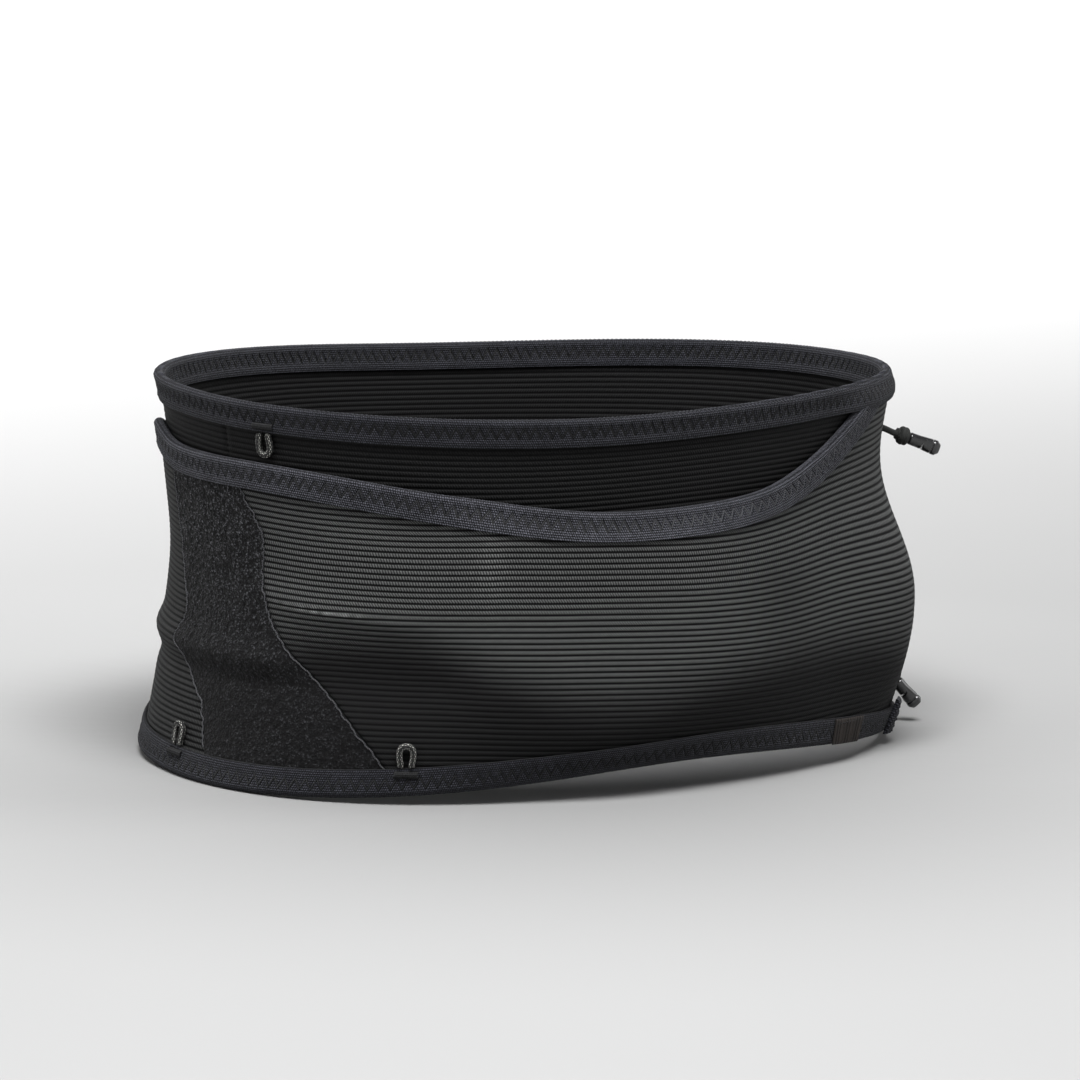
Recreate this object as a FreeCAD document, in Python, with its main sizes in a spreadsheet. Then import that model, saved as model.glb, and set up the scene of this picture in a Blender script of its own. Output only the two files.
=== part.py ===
"""Stretch waist belt with open-topped pockets, cord loops and two toggle hooks.

The belt is a closed ring worn round the waist. +Z is up, +X is the wearer's right and +Y the
wearer's front, so the back pocket faces -Y. The origin is on the waist's axis at mid-height.
Angles run round the ring from the spine (-Y) towards the wearer's right.
"""
import FreeCAD, Part
import math
import os

import Sketcher

Vector = FreeCAD.Vector

SIZES = {
    # The waist that the belt fits, and the belt's own height
    "waist_half_width": 139.0,
    "waist_half_depth": 100.0,
    "waist_roundness": 2.2,
    "belt_height": 136.5,
    "top_flare": 0.047,
    "bottom_flare": 0.066,
    "top_wave": 2.3,
    "top_wave_angle": -25.0,
    "bottom_drop": 1.0,
    "bottom_wave": 5.5,
    "bottom_wave_angle": 8.0,
    # Cloth, elastic binding and the clearance between layers
    "mesh_thickness": 1.2,
    "side_panel_thickness": 1.4,
    "binding_width": 10.5,
    "binding_wall": 1.0,
    "layer_gap": 0.3,
    # Pocket mouth: how far below the top binding it runs, and how far it stands off
    "mouth_drop_middle": 26.5,
    "mouth_drop_side": 10.8,
    "mouth_tip": 5.5,
    "mouth_tip_angle": -106.0,
    "mouth_tip_spread": 8.0,
    "mouth_end_rise": 30.0,
    "back_low_angle": -10.0,
    "back_end_angle": 48.0,
    "back_side_angle": -80.0,
    "front_side_angle": -116.0,
    "front_low_angle": -172.0,
    "front_end_angle": -245.0,
    "back_gape": 8.0,
    "front_gape": 6.0,
    # Pocket fullness
    "back_fullness": 11.0,
    "hip_fullness": 20.5,
    "hip_angle": 60.0,
    "hip_spread": 14.0,
    "front_fullness": 9.0,
    "fullness_height": -13.0,
    "fullness_reach": 60.0,
    "fullness_end_power": 14.0,
    # Left side panel, between the two pockets
    "panel_rear_top_angle": -75.5,
    "panel_rear_bottom_angle": -53.0,
    "panel_front_top_angle": -97.0,
    "panel_front_bottom_angle": -83.0,
    "panel_waist_share": 0.63,
    # Seams and trim
    "seam_angle": 76.0,
    "seam_tape_width": 6.0,
    "edge_tape_width": 3.0,
    "tape_thickness": 0.8,
    "overlap_angle": 60.0,
    "overlap_width": 9.0,
    "overlap_height": 14.0,
    "overlap_thickness": 2.2,
    "label_angle": 43.0,
    "label_width": 19.0,
    "label_thickness": 0.9,
    "tack_length": 8.0,
    "tack_width": 2.4,
    # Cord loops
    "cord_diameter": 2.5,
    "loop_spacing": 5.4,
    "loop_length": 9.6,
    "upper_loop_angle": -73.5,
    "lower_rear_loop_angle": -49.5,
    "lower_front_loop_angle": -89.0,
    # Toggle hooks on their elastic cord
    "hook_cord_length": 8.0,
    "hook_cord_gap": 0.3,
    "hook_gap": 0.2,
    "knot_radius": 2.5,
    "knot_cord": 2.6,
    "knot_pitch": 0.85,
    "hook_length": 13.0,
    "hook_radius": 2.5,
    "hook_head_radius": 3.1,
    "hook_bevel": 1.0,
    "hook_slot": 2.0,
    "hook_slot_place": 0.45,
    "upper_hook_drop": 24.25,
    "upper_hook_tilt": 20.0,
    "lower_hook_rise": 19.75,
    "lower_hook_tilt": 48.0,
}

STATION_STEP = 3.5      # degrees between the points of a row
PANEL_ROWS = 11         # rows of a panel from hem to mouth
BINDING_ROWS = 4        # rows of one wall of a binding
BINDING_REST = 1.5      # binding widths below its top at which a layer stands clear of the binding
MOUTH_END_POWER = 3     # how suddenly the mouth rises towards the seam
GAPE_POWER = 1.5        # how suddenly the layer leans out towards a gaping mouth
SWEEP_POWER = 1.5       # how suddenly a side panel's edge sweeps out towards the hem


# ---------------------------------------------------------------- driving dimensions

def make_sheet(doc):
    """Spreadsheet that holds every driving dimension under its alias."""
    sheet = doc.addObject("Spreadsheet::Sheet", "Sizes")
    for row, (alias, value) in enumerate(SIZES.items(), start=1):
        sheet.set("A%d" % row, alias.replace("_", " "))
        sheet.set("B%d" % row, str(value))
        sheet.setAlias("B%d" % row, alias)
    doc.recompute()
    return sheet


class Belt:
    """The ring's own shape: radius, edge heights and the standing-off of the pocket layer."""

    def __init__(self, sheet):
        for alias in SIZES:
            setattr(self, alias, float(sheet.get(alias)))
        self.half_height = self.belt_height / 2
        self.gap_angle = math.degrees(self.layer_gap / self.waist_half_width)
        self.layer_start = self.mesh_thickness + self.layer_gap
        self.hem_inset = self.binding_wall + self.layer_gap
        self.slot_depth = self.side_panel_thickness + 2 * self.layer_gap
        self.upper_hook_height = self.half_height - self.upper_hook_drop
        self.lower_hook_height = self.lower_hook_rise - self.half_height

    def skin_radius(self, angle, height):
        """Inner face of the inner band: a superellipse, narrowest near mid-height."""
        turn = math.radians(angle)
        power = self.waist_roundness
        across = (abs(math.sin(turn)) / self.waist_half_width) ** power
        along = (abs(math.cos(turn)) / self.waist_half_depth) ** power
        share = height / self.half_height
        even = (self.top_flare + self.bottom_flare) / 2
        odd = (self.top_flare - self.bottom_flare) / 2
        return (across + along) ** (-1 / power) * (1 + even * share ** 2 + odd * share)

    def point(self, angle, height, offset):
        """Point that stands off the skin by the offset."""
        turn = math.radians(angle)
        radius = self.skin_radius(angle, height) + offset
        return Vector(radius * math.sin(turn), -radius * math.cos(turn), height)

    def top(self, angle):
        """Height of the belt's top edge."""
        return self.half_height - self.top_wave * wave(angle, self.top_wave_angle)

    def bottom(self, angle):
        """Height of the belt's bottom edge."""
        return -self.half_height - self.bottom_drop + self.bottom_wave * wave(angle, self.bottom_wave_angle)

    def under_top_binding(self, angle):
        """Highest place for a piece that stops below the top binding."""
        return self.top(angle) - self.binding_width - self.layer_gap

    def over_bottom_binding(self, angle):
        """Lowest place for a piece that starts above the bottom binding."""
        return self.bottom(angle) + self.binding_width + self.layer_gap

    def wrapped(self, angle):
        """The same place counted from the right seam, where the pocket layer's ends meet."""
        return angle - 360 if angle > self.seam_angle else angle

    def mouth(self, angle):
        """Height of the pocket mouth: low at the middle of each pocket, rising to the seam."""
        angle = self.wrapped(angle)
        clear = self.half_height - self.binding_width
        low = clear - self.mouth_drop_middle
        side = clear - self.mouth_drop_side
        if angle > self.back_low_angle:
            share = (angle - self.back_low_angle) / (self.back_end_angle - self.back_low_angle)
            return low + self.mouth_end_rise * share ** MOUTH_END_POWER
        if angle < self.front_low_angle:
            share = (angle - self.front_low_angle) / (self.front_end_angle - self.front_low_angle)
            return low + self.mouth_end_rise * share ** MOUTH_END_POWER
        if angle > self.back_side_angle:
            share = ease((angle - self.back_side_angle) / (self.back_low_angle - self.back_side_angle))
        elif angle < self.front_side_angle:
            share = ease((angle - self.front_side_angle) / (self.front_low_angle - self.front_side_angle))
        else:
            share = 0.0
        tip = self.mouth_tip * math.exp(-((angle - self.mouth_tip_angle) / self.mouth_tip_spread) ** 2)
        return side + (low - side) * share + tip

    def layer_top(self, angle):
        """Top of the pocket layer, before its binding goes on."""
        return min(self.mouth(angle), self.under_top_binding(angle))

    def gape(self, angle):
        """How far the mouth stands off the inner band."""
        angle = self.wrapped(angle)
        if self.back_side_angle < angle < self.back_end_angle:
            share = (angle - self.back_side_angle) / (self.back_end_angle - self.back_side_angle)
            return self.back_gape * math.sin(math.pi * share) ** 2
        if self.front_end_angle < angle < self.front_side_angle:
            share = (angle - self.front_side_angle) / (self.front_end_angle - self.front_side_angle)
            return self.front_gape * math.sin(math.pi * share) ** 2
        return 0.0

    def fullness(self, angle):
        """How far the pocket bellies out at its fullest height."""
        angle = self.wrapped(angle)
        rear = self.panel_rear_top_angle
        front = self.panel_front_top_angle
        if angle > rear:
            share = min((angle - rear) / (self.seam_angle - rear), 1.0)
            hip = self.hip_fullness * math.exp(-((angle - self.hip_angle) / self.hip_spread) ** 2)
            return (self.back_fullness * math.sin(math.pi * share) + hip) * (1 - share ** self.fullness_end_power)
        if angle < front:
            share = min((front - angle) / (front - self.seam_angle + 360), 1.0)
            return self.front_fullness * math.sin(math.pi * share) ** 2
        return 0.0

    def layer(self, angle, height):
        """Standing-off of the pocket layer's inner face."""
        bottom = self.bottom(angle)
        depth = self.layer_top(angle) - bottom
        rise = min(max((height - bottom) / depth, 0.0), 1.0)
        rest = 1 - BINDING_REST * self.binding_width / depth
        seat = self.layer_start + self.hem_inset * min(rise / rest, 1.0)
        if height < self.fullness_height:
            share = max((height - bottom) / (self.fullness_height - bottom), 0.0)
            belly = math.sin(math.pi / 2 * share)
        else:
            share = min((height - self.fullness_height) / self.fullness_reach, 1.0)
            belly = math.cos(math.pi / 2 * share) ** 2
        return seat + self.gape(angle) * rise ** GAPE_POWER + self.fullness(angle) * belly

    def on_binding(self, angle, height):
        """Standing-off of a piece that lies on the bottom binding's outer wall."""
        return self.layer(angle, height) + self.slot_depth + self.binding_wall

    def on_seam_tape(self, angle, height):
        """Standing-off of a piece that lies on a seam tape."""
        return (self.layer(angle, height) + self.side_panel_thickness + 2 * self.layer_gap
                + self.tape_thickness)

    def mouth_place(self, angle, depth):
        """Place that lies a depth below the mouth's edge, square to it."""
        radius = self.skin_radius(angle, self.mouth(angle))
        step = math.radians(1.0) * radius
        slope = math.atan2(self.mouth(angle + 0.5) - self.mouth(angle - 0.5), step)
        turn = math.degrees(depth * math.sin(slope) / radius)
        return angle + turn, self.mouth(angle) - depth * math.cos(slope)

    def mouth_lower(self, angle):
        """Height of the mouth binding's lower edge where the mouth runs nearly level."""
        return self.mouth(angle) - self.binding_width

    def panel_edge(self, top_angle, bottom_angle, share):
        """Angle of a side panel's edge: upright above its waist, then sweeping to the hem."""
        low = max(1 - share / self.panel_waist_share, 0.0)
        return top_angle + (bottom_angle - top_angle) * low ** SWEEP_POWER

    def rear_edge(self, share):
        """Edge between the left side panel and the back pocket."""
        return self.panel_edge(self.panel_rear_top_angle, self.panel_rear_bottom_angle, share)

    def front_edge(self, share):
        """Edge between the left side panel and the front pocket."""
        return self.panel_edge(self.panel_front_top_angle, self.panel_front_bottom_angle, share)

    def seat(self, angle, height, offset, down=False):
        """Placement on the cloth: X along the ring, Y up (or down) the cloth, Z outwards."""
        reach = -1.0 if down else 1.0
        origin = self.point(angle, height, offset(angle, height))
        climb = self.point(angle, height + reach, offset(angle, height + reach)) - origin
        along = self.point(angle + reach, height, offset(angle + reach, height)) - origin
        climb.normalize()
        outward = along.cross(climb)
        outward.normalize()
        return FreeCAD.Placement(origin, frame_rotation(climb.cross(outward), climb, outward))


def wave(angle, crest):
    """Two waves round the ring, with one crest at the given angle."""
    return math.cos(2 * math.radians(angle - crest))


def ease(share):
    """Half a cosine from 0 to 1."""
    return (1 - math.cos(math.pi * share)) / 2


def frame_rotation(across, climb, outward):
    """Rotation that turns X, Y and Z to three unit vectors at right angles."""
    matrix = FreeCAD.Matrix(
        across.x, climb.x, outward.x, 0,
        across.y, climb.y, outward.y, 0,
        across.z, climb.z, outward.z, 0,
        0, 0, 0, 1)
    return FreeCAD.Placement(matrix).Rotation


def shares(count):
    """Evenly spaced numbers from 0 to 1."""
    return [index / (count - 1) for index in range(count)]


def stations(start, end):
    """Evenly spaced angles from start to end, no further apart than the station step."""
    count = max(int(math.ceil(abs(end - start) / STATION_STEP)), 2) + 1
    return [start + (end - start) * share for share in shares(count)]


# ---------------------------------------------------------------- cloth solids

def row_edge(points):
    """Smooth edge through a row's points."""
    curve = Part.BSplineCurve()
    curve.interpolate(points)
    return curve.toShape()


def row_spans(rows, closed):
    """Rows as they are, or cut into two half rings that share their end points."""
    if not closed:
        return [rows]
    half = len(rows[0]) // 2
    return [[row[:half + 1] for row in rows], [row[half:] for row in rows]]


def cloth_solid(outer, inner, closed=False):
    """Solid between two stacks of rows, each row a list of points along the cloth."""
    faces = []
    for span in row_spans(outer + inner[::-1], closed):
        edges = [row_edge(row) for row in span]
        for edge, following in zip(edges, edges[1:] + edges[:1]):
            faces.append(Part.makeRuledSurface(edge, following))
    for end in [] if closed else (0, -1):
        for index in range(len(outer) - 1):
            front = Part.makeLine(outer[index][end], outer[index + 1][end])
            back = Part.makeLine(inner[index][end], inner[index + 1][end])
            faces.append(Part.makeRuledSurface(front, back))
    shell = Part.Shell(faces)
    shell.sewShape()
    solid = Part.Solid(shell)
    if solid.Volume < 0:
        solid.reverse()
    return solid


def add_cloth(doc, name, solid):
    """Sub-part whose shape is a cloth solid."""
    piece = doc.addObject("Part::Feature", name)
    piece.Label = name
    piece.Shape = solid
    piece.Placement = FreeCAD.Placement()
    return piece


def sheet_rows(belt, left, right, low, high, offset):
    """Rows of points between two side edges (by share of height) and two heights (by angle)."""
    along = len(stations(left(0.0), right(0.0)))
    rows = []
    for share in shares(PANEL_ROWS):
        row = []
        for part in shares(along):
            angle = left(share) + (right(share) - left(share)) * part
            height = low(angle) + (high(angle) - low(angle)) * share
            row.append(belt.point(angle, height, offset(angle, height)))
        rows.append(row)
    return rows


def panel_solid(belt, left, right, low, high, offset, thickness):
    """One thickness of cloth whose inner face stands off by the offset."""
    def outside(angle, height):
        return offset(angle, height) + thickness

    return cloth_solid(sheet_rows(belt, left, right, low, high, outside),
                       sheet_rows(belt, left, right, low, high, offset))


def fixed(value):
    """Function that gives the same value everywhere."""
    return lambda *place: value


def make_bands(doc, belt):
    """Inner band against the body, in two halves sewn at the side seams."""
    left = belt.panel_rear_top_angle - belt.seam_tape_width
    halves = {
        "inner_band_back": (left, belt.seam_angle),
        "inner_band_front": (belt.seam_angle - 360, left),
    }

    def low(angle):
        return belt.bottom(angle) + belt.hem_inset

    def high(angle):
        return belt.top(angle) - belt.hem_inset

    for name, (start, end) in halves.items():
        solid = panel_solid(belt, fixed(start + belt.gap_angle), fixed(end - belt.gap_angle),
                            low, high, fixed(0.0), belt.mesh_thickness)
        add_cloth(doc, name, solid)


def make_panels(doc, belt):
    """Pocket layer: back pocket, left side panel and front pocket, butted at their seams."""
    gap = belt.gap_angle
    seam = belt.seam_angle

    def low(angle):
        return belt.bottom(angle) + belt.hem_inset

    def high(angle):
        return min(belt.mouth(angle) - belt.hem_inset - 2 * belt.layer_gap, belt.under_top_binding(angle))

    def beside_rear(share):
        return belt.rear_edge(share) + gap

    def beside_front(share):
        return belt.front_edge(share) - gap

    panels = {
        "back_pocket": (beside_rear, fixed(seam - gap), belt.mesh_thickness),
        "left_side_panel": (belt.front_edge, belt.rear_edge, belt.side_panel_thickness),
        "front_pocket": (fixed(seam - 360 + gap), beside_front, belt.mesh_thickness),
    }
    for name, (left, right, thickness) in panels.items():
        add_cloth(doc, name, panel_solid(belt, left, right, low, high, belt.layer, thickness))


def make_seam_tapes(doc, belt):
    """Flat tapes over the three upright seams of the pocket layer."""
    def outside(angle, height):
        return belt.layer(angle, height) + belt.side_panel_thickness + belt.layer_gap

    def below_mouth(angle):
        return belt.mouth_lower(angle) - belt.layer_gap

    tapes = {
        "right_seam_tape": (fixed(belt.seam_angle), belt.seam_tape_width, belt.under_top_binding),
        "panel_rear_seam": (belt.rear_edge, belt.edge_tape_width, below_mouth),
        "panel_front_seam": (belt.front_edge, belt.edge_tape_width, below_mouth),
    }
    for name, (edge, width, high) in tapes.items():
        half = math.degrees(width / 2 / belt.waist_half_width)

        def left(share, edge=edge, half=half):
            return edge(share) - half

        def right(share, edge=edge, half=half):
            return edge(share) + half

        add_cloth(doc, name, panel_solid(belt, left, right, belt.over_bottom_binding, high,
                                         outside, belt.tape_thickness))


def make_hem_trim(doc, belt):
    """Blank label and the overlapped end of the bottom binding, both on its outer wall."""
    def left_of(angle, width):
        return angle - math.degrees(width / 2 / belt.waist_half_width)

    trims = {
        "label_tab": (belt.label_angle, belt.label_width, belt.binding_width, belt.label_thickness),
        "binding_overlap": (belt.overlap_angle, belt.overlap_width, belt.overlap_height,
                            belt.overlap_thickness),
    }
    for name, (middle, width, height, thickness) in trims.items():
        start = left_of(middle, width)

        def high(angle, height=height):
            return belt.bottom(angle) + height

        add_cloth(doc, name, panel_solid(belt, fixed(start), fixed(2 * middle - start), belt.bottom,
                                         high, belt.on_binding, thickness))


# ---------------------------------------------------------------- folded bindings

def binding_solid(belt, angles, place, outer_slot, inner_slot, closed):
    """Folded elastic over a cloth edge.

    place(angle, depth) gives the angle and height that lie a depth in from the folded edge;
    outer_slot and inner_slot give the standing-off of the slot's two sides at a place.
    """
    wall = belt.binding_wall
    depths = [belt.binding_width * share for share in shares(BINDING_ROWS)]
    slot_depths = [wall] + depths[1:]

    def row(depth, slot, extra):
        points = []
        for angle in angles:
            spot = place(angle, depth)
            points.append(belt.point(spot[0], spot[1], slot(*spot) + extra))
        return points

    face = [row(depth, outer_slot, wall) for depth in reversed(depths)]
    face += [row(depth, inner_slot, -wall) for depth in depths]
    slot = [row(depth, outer_slot, 0.0) for depth in reversed(slot_depths)]
    slot += [row(depth, inner_slot, 0.0) for depth in slot_depths]
    return cloth_solid(face, slot, closed)


def make_bindings(doc, belt):
    """Elastic bindings of the top edge, the bottom edge and the pocket mouths."""
    ring = stations(-180.0, 180.0)
    skin_side = fixed(-belt.layer_gap)
    band_side = fixed(belt.mesh_thickness + belt.layer_gap)

    def layer_inside(angle, height):
        return belt.layer(angle, height) - belt.layer_gap

    def layer_outside(angle, height):
        return layer_inside(angle, height) + belt.slot_depth

    def top_place(angle, depth):
        return angle, belt.top(angle) - depth

    def bottom_place(angle, depth):
        return angle, belt.bottom(angle) + depth

    run = [angle for angle in stations(belt.front_end_angle, belt.back_end_angle)
           if belt.mouth(angle) < belt.under_top_binding(angle)]
    bindings = {
        "top_binding": (ring, top_place, band_side, skin_side, True),
        "bottom_binding": (ring, bottom_place, layer_outside, skin_side, True),
        "pocket_mouth_binding": (run, belt.mouth_place, layer_outside, layer_inside, False),
    }
    for name, (angles, place, outer_slot, inner_slot, closed) in bindings.items():
        add_cloth(doc, name, binding_solid(belt, angles, place, outer_slot, inner_slot, closed))


# ---------------------------------------------------------------- cord loops

def bind(piece, **sizes):
    """Tie properties to sheet cells; a double underscore in a name stands for a dot."""
    for name, formula in sizes.items():
        piece.setExpression(name.replace("__", "."), formula)


def add_primitive(doc, kind, name, **sizes):
    """Part primitive whose sizes follow the sheet."""
    piece = doc.addObject("Part::" + kind, name)
    bind(piece, **sizes)
    return piece


def join(doc, name, pieces):
    """Fused sub-part with a label of its own."""
    whole = doc.addObject("Part::MultiFuse", name)
    whole.Shapes = pieces
    whole.Label = name
    return whole


def make_cord_loop(doc, name, placement):
    """U of round cord: two feet at the origin's level, a half turn at the far end."""
    radius = "Sizes.cord_diameter / 2"
    straight = "Sizes.loop_length - Sizes.layer_gap - Sizes.cord_diameter - Sizes.loop_spacing / 2"
    pieces = []
    for side, sign in (("left", "-"), ("right", "")):
        across = sign + "Sizes.loop_spacing / 2"
        foot = add_primitive(doc, "Sphere", "%s_%s_foot" % (name, side), Radius=radius)
        leg = add_primitive(doc, "Cylinder", "%s_%s_leg" % (name, side), Radius=radius, Height=straight)
        leg.Placement.Rotation = FreeCAD.Rotation(Vector(1, 0, 0), -90)
        for piece in (foot, leg):
            bind(piece, Placement__Base__x=across)
            pieces.append(piece)
    bow = add_primitive(doc, "Torus", name + "_bow", Radius1="Sizes.loop_spacing / 2", Radius2=radius)
    bow.Angle3 = 180
    bind(bow, Placement__Base__y=straight)
    loop = join(doc, name, pieces + [bow])
    loop.Placement = placement
    return loop


def make_cord_loops(doc, belt):
    """One loop hanging from the top binding, two standing on the bottom binding."""
    radius = belt.cord_diameter / 2
    lift = belt.layer_gap + radius

    def on_band(angle, height):
        return belt.mesh_thickness + lift

    def on_pocket(angle, height):
        return belt.layer(angle, height) + belt.side_panel_thickness + lift

    upper = belt.upper_loop_angle
    make_cord_loop(doc, "upper_loop",
                   belt.seat(upper, belt.under_top_binding(upper) - radius, on_band, down=True))
    for name, angle in (("lower_rear_loop", belt.lower_rear_loop_angle),
                        ("lower_front_loop", belt.lower_front_loop_angle)):
        make_cord_loop(doc, name, belt.seat(angle, belt.over_bottom_binding(angle) + radius, on_pocket))


# ---------------------------------------------------------------- toggle hooks

def make_hook_cord(doc, name, placement):
    """Two short strands of elastic cord side by side, along +X."""
    strands = []
    for side, sign in (("left", "-"), ("right", "")):
        strand = add_primitive(doc, "Cylinder", "%s_%s_strand" % (name, side),
                               Radius="Sizes.cord_diameter / 2", Height="Sizes.hook_cord_length")
        strand.Placement.Rotation = FreeCAD.Rotation(Vector(0, 1, 0), 90)
        bind(strand, Placement__Base__y=sign + "(Sizes.cord_diameter + Sizes.hook_cord_gap) / 2")
        strands.append(strand)
    cord = doc.addObject("Part::Compound", name)
    cord.Links = strands
    cord.Label = name
    cord.Placement = placement


def make_knot(doc, name, placement):
    """Knot of two turns of cord round a core, just past the strands."""
    start = "Sizes.hook_cord_length + Sizes.hook_gap + Sizes.knot_cord / 2"
    pieces = []
    for index, step in enumerate(("", " + Sizes.knot_cord * Sizes.knot_pitch")):
        turn = add_primitive(doc, "Torus", "%s_turn_%d" % (name, index),
                             Radius1="Sizes.knot_radius", Radius2="Sizes.knot_cord / 2")
        turn.Placement.Rotation = FreeCAD.Rotation(Vector(0, 1, 0), 90)
        bind(turn, Placement__Base__x=start + step)
        pieces.append(turn)
    core = add_primitive(doc, "Cylinder", name + "_core", Radius="Sizes.knot_radius",
                         Height="Sizes.knot_cord * Sizes.knot_pitch")
    core.Placement.Rotation = FreeCAD.Rotation(Vector(0, 1, 0), 90)
    bind(core, Placement__Base__x=start)
    join(doc, name, pieces + [core]).Placement = placement


def origin_plane(body, role):
    """One of a body's own origin planes, by its role."""
    return next(plane for plane in body.Origin.OriginFeatures if plane.Role == role)


def outline(sketch, points):
    """Closed outline through points; returns the number of its sides."""
    corners = [Vector(x, y, 0) for x, y in points]
    for start, end in zip(corners, corners[1:] + corners[:1]):
        sketch.addGeometry(Part.LineSegment(start, end), False)
    count = len(corners)
    for index in range(count):
        sketch.addConstraint(Sketcher.Constraint("Coincident", index, 2, (index + 1) % count, 1))
    return count


def place_corner(sketch, index, across, along):
    """Tie a corner's two coordinates to formulas; None leaves that one on its axis."""
    for kind, formula, position in (("DistanceX", across, "x"), ("DistanceY", along, "y")):
        start = sketch.Geometry[index].StartPoint
        if formula is None:
            line = -2 if kind == "DistanceX" else -1
            sketch.addConstraint(Sketcher.Constraint("PointOnObject", index, 1, line))
            continue
        number = sketch.addConstraint(
            Sketcher.Constraint(kind, -1, 1, index, 1, getattr(start, position)))
        sketch.setExpression("Constraints[%d]" % number, formula)


def make_hook(doc, belt, name, placement):
    """Moulded toggle hook: a bevelled barrel that widens to its head, with an angled cord slot."""
    body = doc.addObject("PartDesign::Body", name)
    body.Label = name
    start = belt.hook_cord_length + 2 * belt.hook_gap + (1 + belt.knot_pitch) * belt.knot_cord
    knot_end = "Sizes.hook_cord_length + 2 * Sizes.hook_gap + Sizes.knot_cord * (1 + Sizes.knot_pitch)"
    end = start + belt.hook_length
    bevel = belt.hook_bevel
    barrel = belt.hook_radius
    head = belt.hook_head_radius

    profile = body.newObject("Sketcher::SketchObject", name + "_profile")
    profile.AttachmentSupport = [(origin_plane(body, "XZ_Plane"), "")]
    profile.MapMode = "FlatFace"
    outline(profile, [(start, 0), (start, barrel), (end - 2 * bevel, head), (end, head - bevel), (end, 0)])
    tail = knot_end + " + Sizes.hook_length"
    place_corner(profile, 0, knot_end, None)
    place_corner(profile, 1, knot_end, "Sizes.hook_radius")
    place_corner(profile, 2, tail + " - 2 * Sizes.hook_bevel", "Sizes.hook_head_radius")
    place_corner(profile, 3, tail, "Sizes.hook_head_radius - Sizes.hook_bevel")
    place_corner(profile, 4, tail, None)
    turned = body.newObject("PartDesign::Revolution", name + "_barrel")
    turned.Profile = profile
    turned.ReferenceAxis = (profile, ["H_Axis"])
    turned.Angle = 360

    slot = body.newObject("Sketcher::SketchObject", name + "_slot_outline")
    slot.AttachmentSupport = [(origin_plane(body, "XZ_Plane"), "")]
    slot.MapMode = "FlatFace"
    middle = start + belt.hook_length * belt.hook_slot_place
    lean = belt.hook_slot
    outline(slot, [(middle, 0), (middle + lean, 0), (middle + 2 * lean, -2 * head), (middle + lean, -2 * head)])
    middle_formula = knot_end + " + Sizes.hook_length * Sizes.hook_slot_place"
    place_corner(slot, 0, middle_formula, None)
    place_corner(slot, 1, middle_formula + " + Sizes.hook_slot", None)
    place_corner(slot, 2, middle_formula + " + 2 * Sizes.hook_slot", "-2 * Sizes.hook_head_radius")
    place_corner(slot, 3, middle_formula + " + Sizes.hook_slot", "-2 * Sizes.hook_head_radius")
    cut = body.newObject("PartDesign::Pocket", name + "_slot")
    cut.Profile = slot
    cut.Type = "ThroughAll"
    cut.Midplane = True
    body.Tip = cut
    body.Placement = placement


def hook_placement(belt, height, tilt):
    """Root of a hook's cord on the right seam: X outwards and down, Y forwards along the ring."""
    seat = belt.seat(belt.seam_angle, height, belt.on_seam_tape)
    normal = seat.Rotation.multVec(Vector(0, 0, 1))
    outward = Vector(normal.x, normal.y, 0)
    outward.normalize()
    down = math.radians(tilt)
    along = outward * math.cos(down) - Vector(0, 0, 1) * math.sin(down)
    aside = Vector(0, 0, 1).cross(outward)
    rise = along.cross(aside)
    heel = belt.cord_diameter / 2 * math.sin(along.getAngle(normal))
    return FreeCAD.Placement(seat.Base + normal * heel, frame_rotation(along, aside, rise))


def make_hooks(doc, belt):
    """Upper and lower toggle hook, each on its elastic cord and knot."""
    for side, height, tilt in (("upper", belt.upper_hook_height, belt.upper_hook_tilt),
                               ("lower", belt.lower_hook_height, belt.lower_hook_tilt)):
        placement = hook_placement(belt, height, tilt)
        make_hook_cord(doc, side + "_hook_cord", placement)
        make_knot(doc, side + "_hook_knot", placement)
        make_hook(doc, belt, side + "_hook", placement)


def make_tacks(doc, belt):
    """Bar tacks: a short dense stitch block at each loop's feet and each hook's root."""
    def on_top_binding(angle, height):
        return belt.mesh_thickness + 2 * belt.layer_gap + belt.binding_wall

    inset = belt.tack_width / 2 + belt.binding_wall
    length = "Sizes.tack_length"
    width = "Sizes.tack_width"
    upper = belt.upper_loop_angle
    spots = [(upper, belt.under_top_binding(upper) + belt.layer_gap + inset, on_top_binding, length, width)]
    for angle in (belt.lower_rear_loop_angle, belt.lower_front_loop_angle):
        level = belt.over_bottom_binding(angle) - belt.layer_gap - inset
        spots.append((angle, level, belt.on_binding, length, width))
    clear = 2 * belt.cord_diameter
    for level in (belt.upper_hook_height + clear, belt.lower_hook_height + clear):
        spots.append((belt.seam_angle, level, belt.on_seam_tape, width, width))
    blocks = []
    for index, (angle, height, offset, across, up) in enumerate(spots):
        block = add_primitive(doc, "Box", "tack_%d" % index, Length=across, Width=up,
                              Height="Sizes.tape_thickness")
        doc.recompute()
        corner = Vector(-block.Length.Value / 2, -block.Width.Value / 2, 0)
        seat = belt.seat(angle, height, offset)
        block.Placement = seat.multiply(FreeCAD.Placement(corner, FreeCAD.Rotation()))
        blocks.append(block)
    group = doc.addObject("Part::Compound", "bar_tacks")
    group.Links = blocks
    group.Label = "bar_tacks"


# ---------------------------------------------------------------- checking and writing

SUB_PARTS = [
    "inner_band_back", "inner_band_front", "back_pocket", "front_pocket", "left_side_panel",
    "top_binding", "bottom_binding", "pocket_mouth_binding", "right_seam_tape",
    "panel_rear_seam", "panel_front_seam", "label_tab", "binding_overlap", "bar_tacks",
    "upper_loop", "lower_rear_loop", "lower_front_loop",
    "upper_hook_cord", "upper_hook_knot", "upper_hook",
    "lower_hook_cord", "lower_hook_knot", "lower_hook",
]


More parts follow.
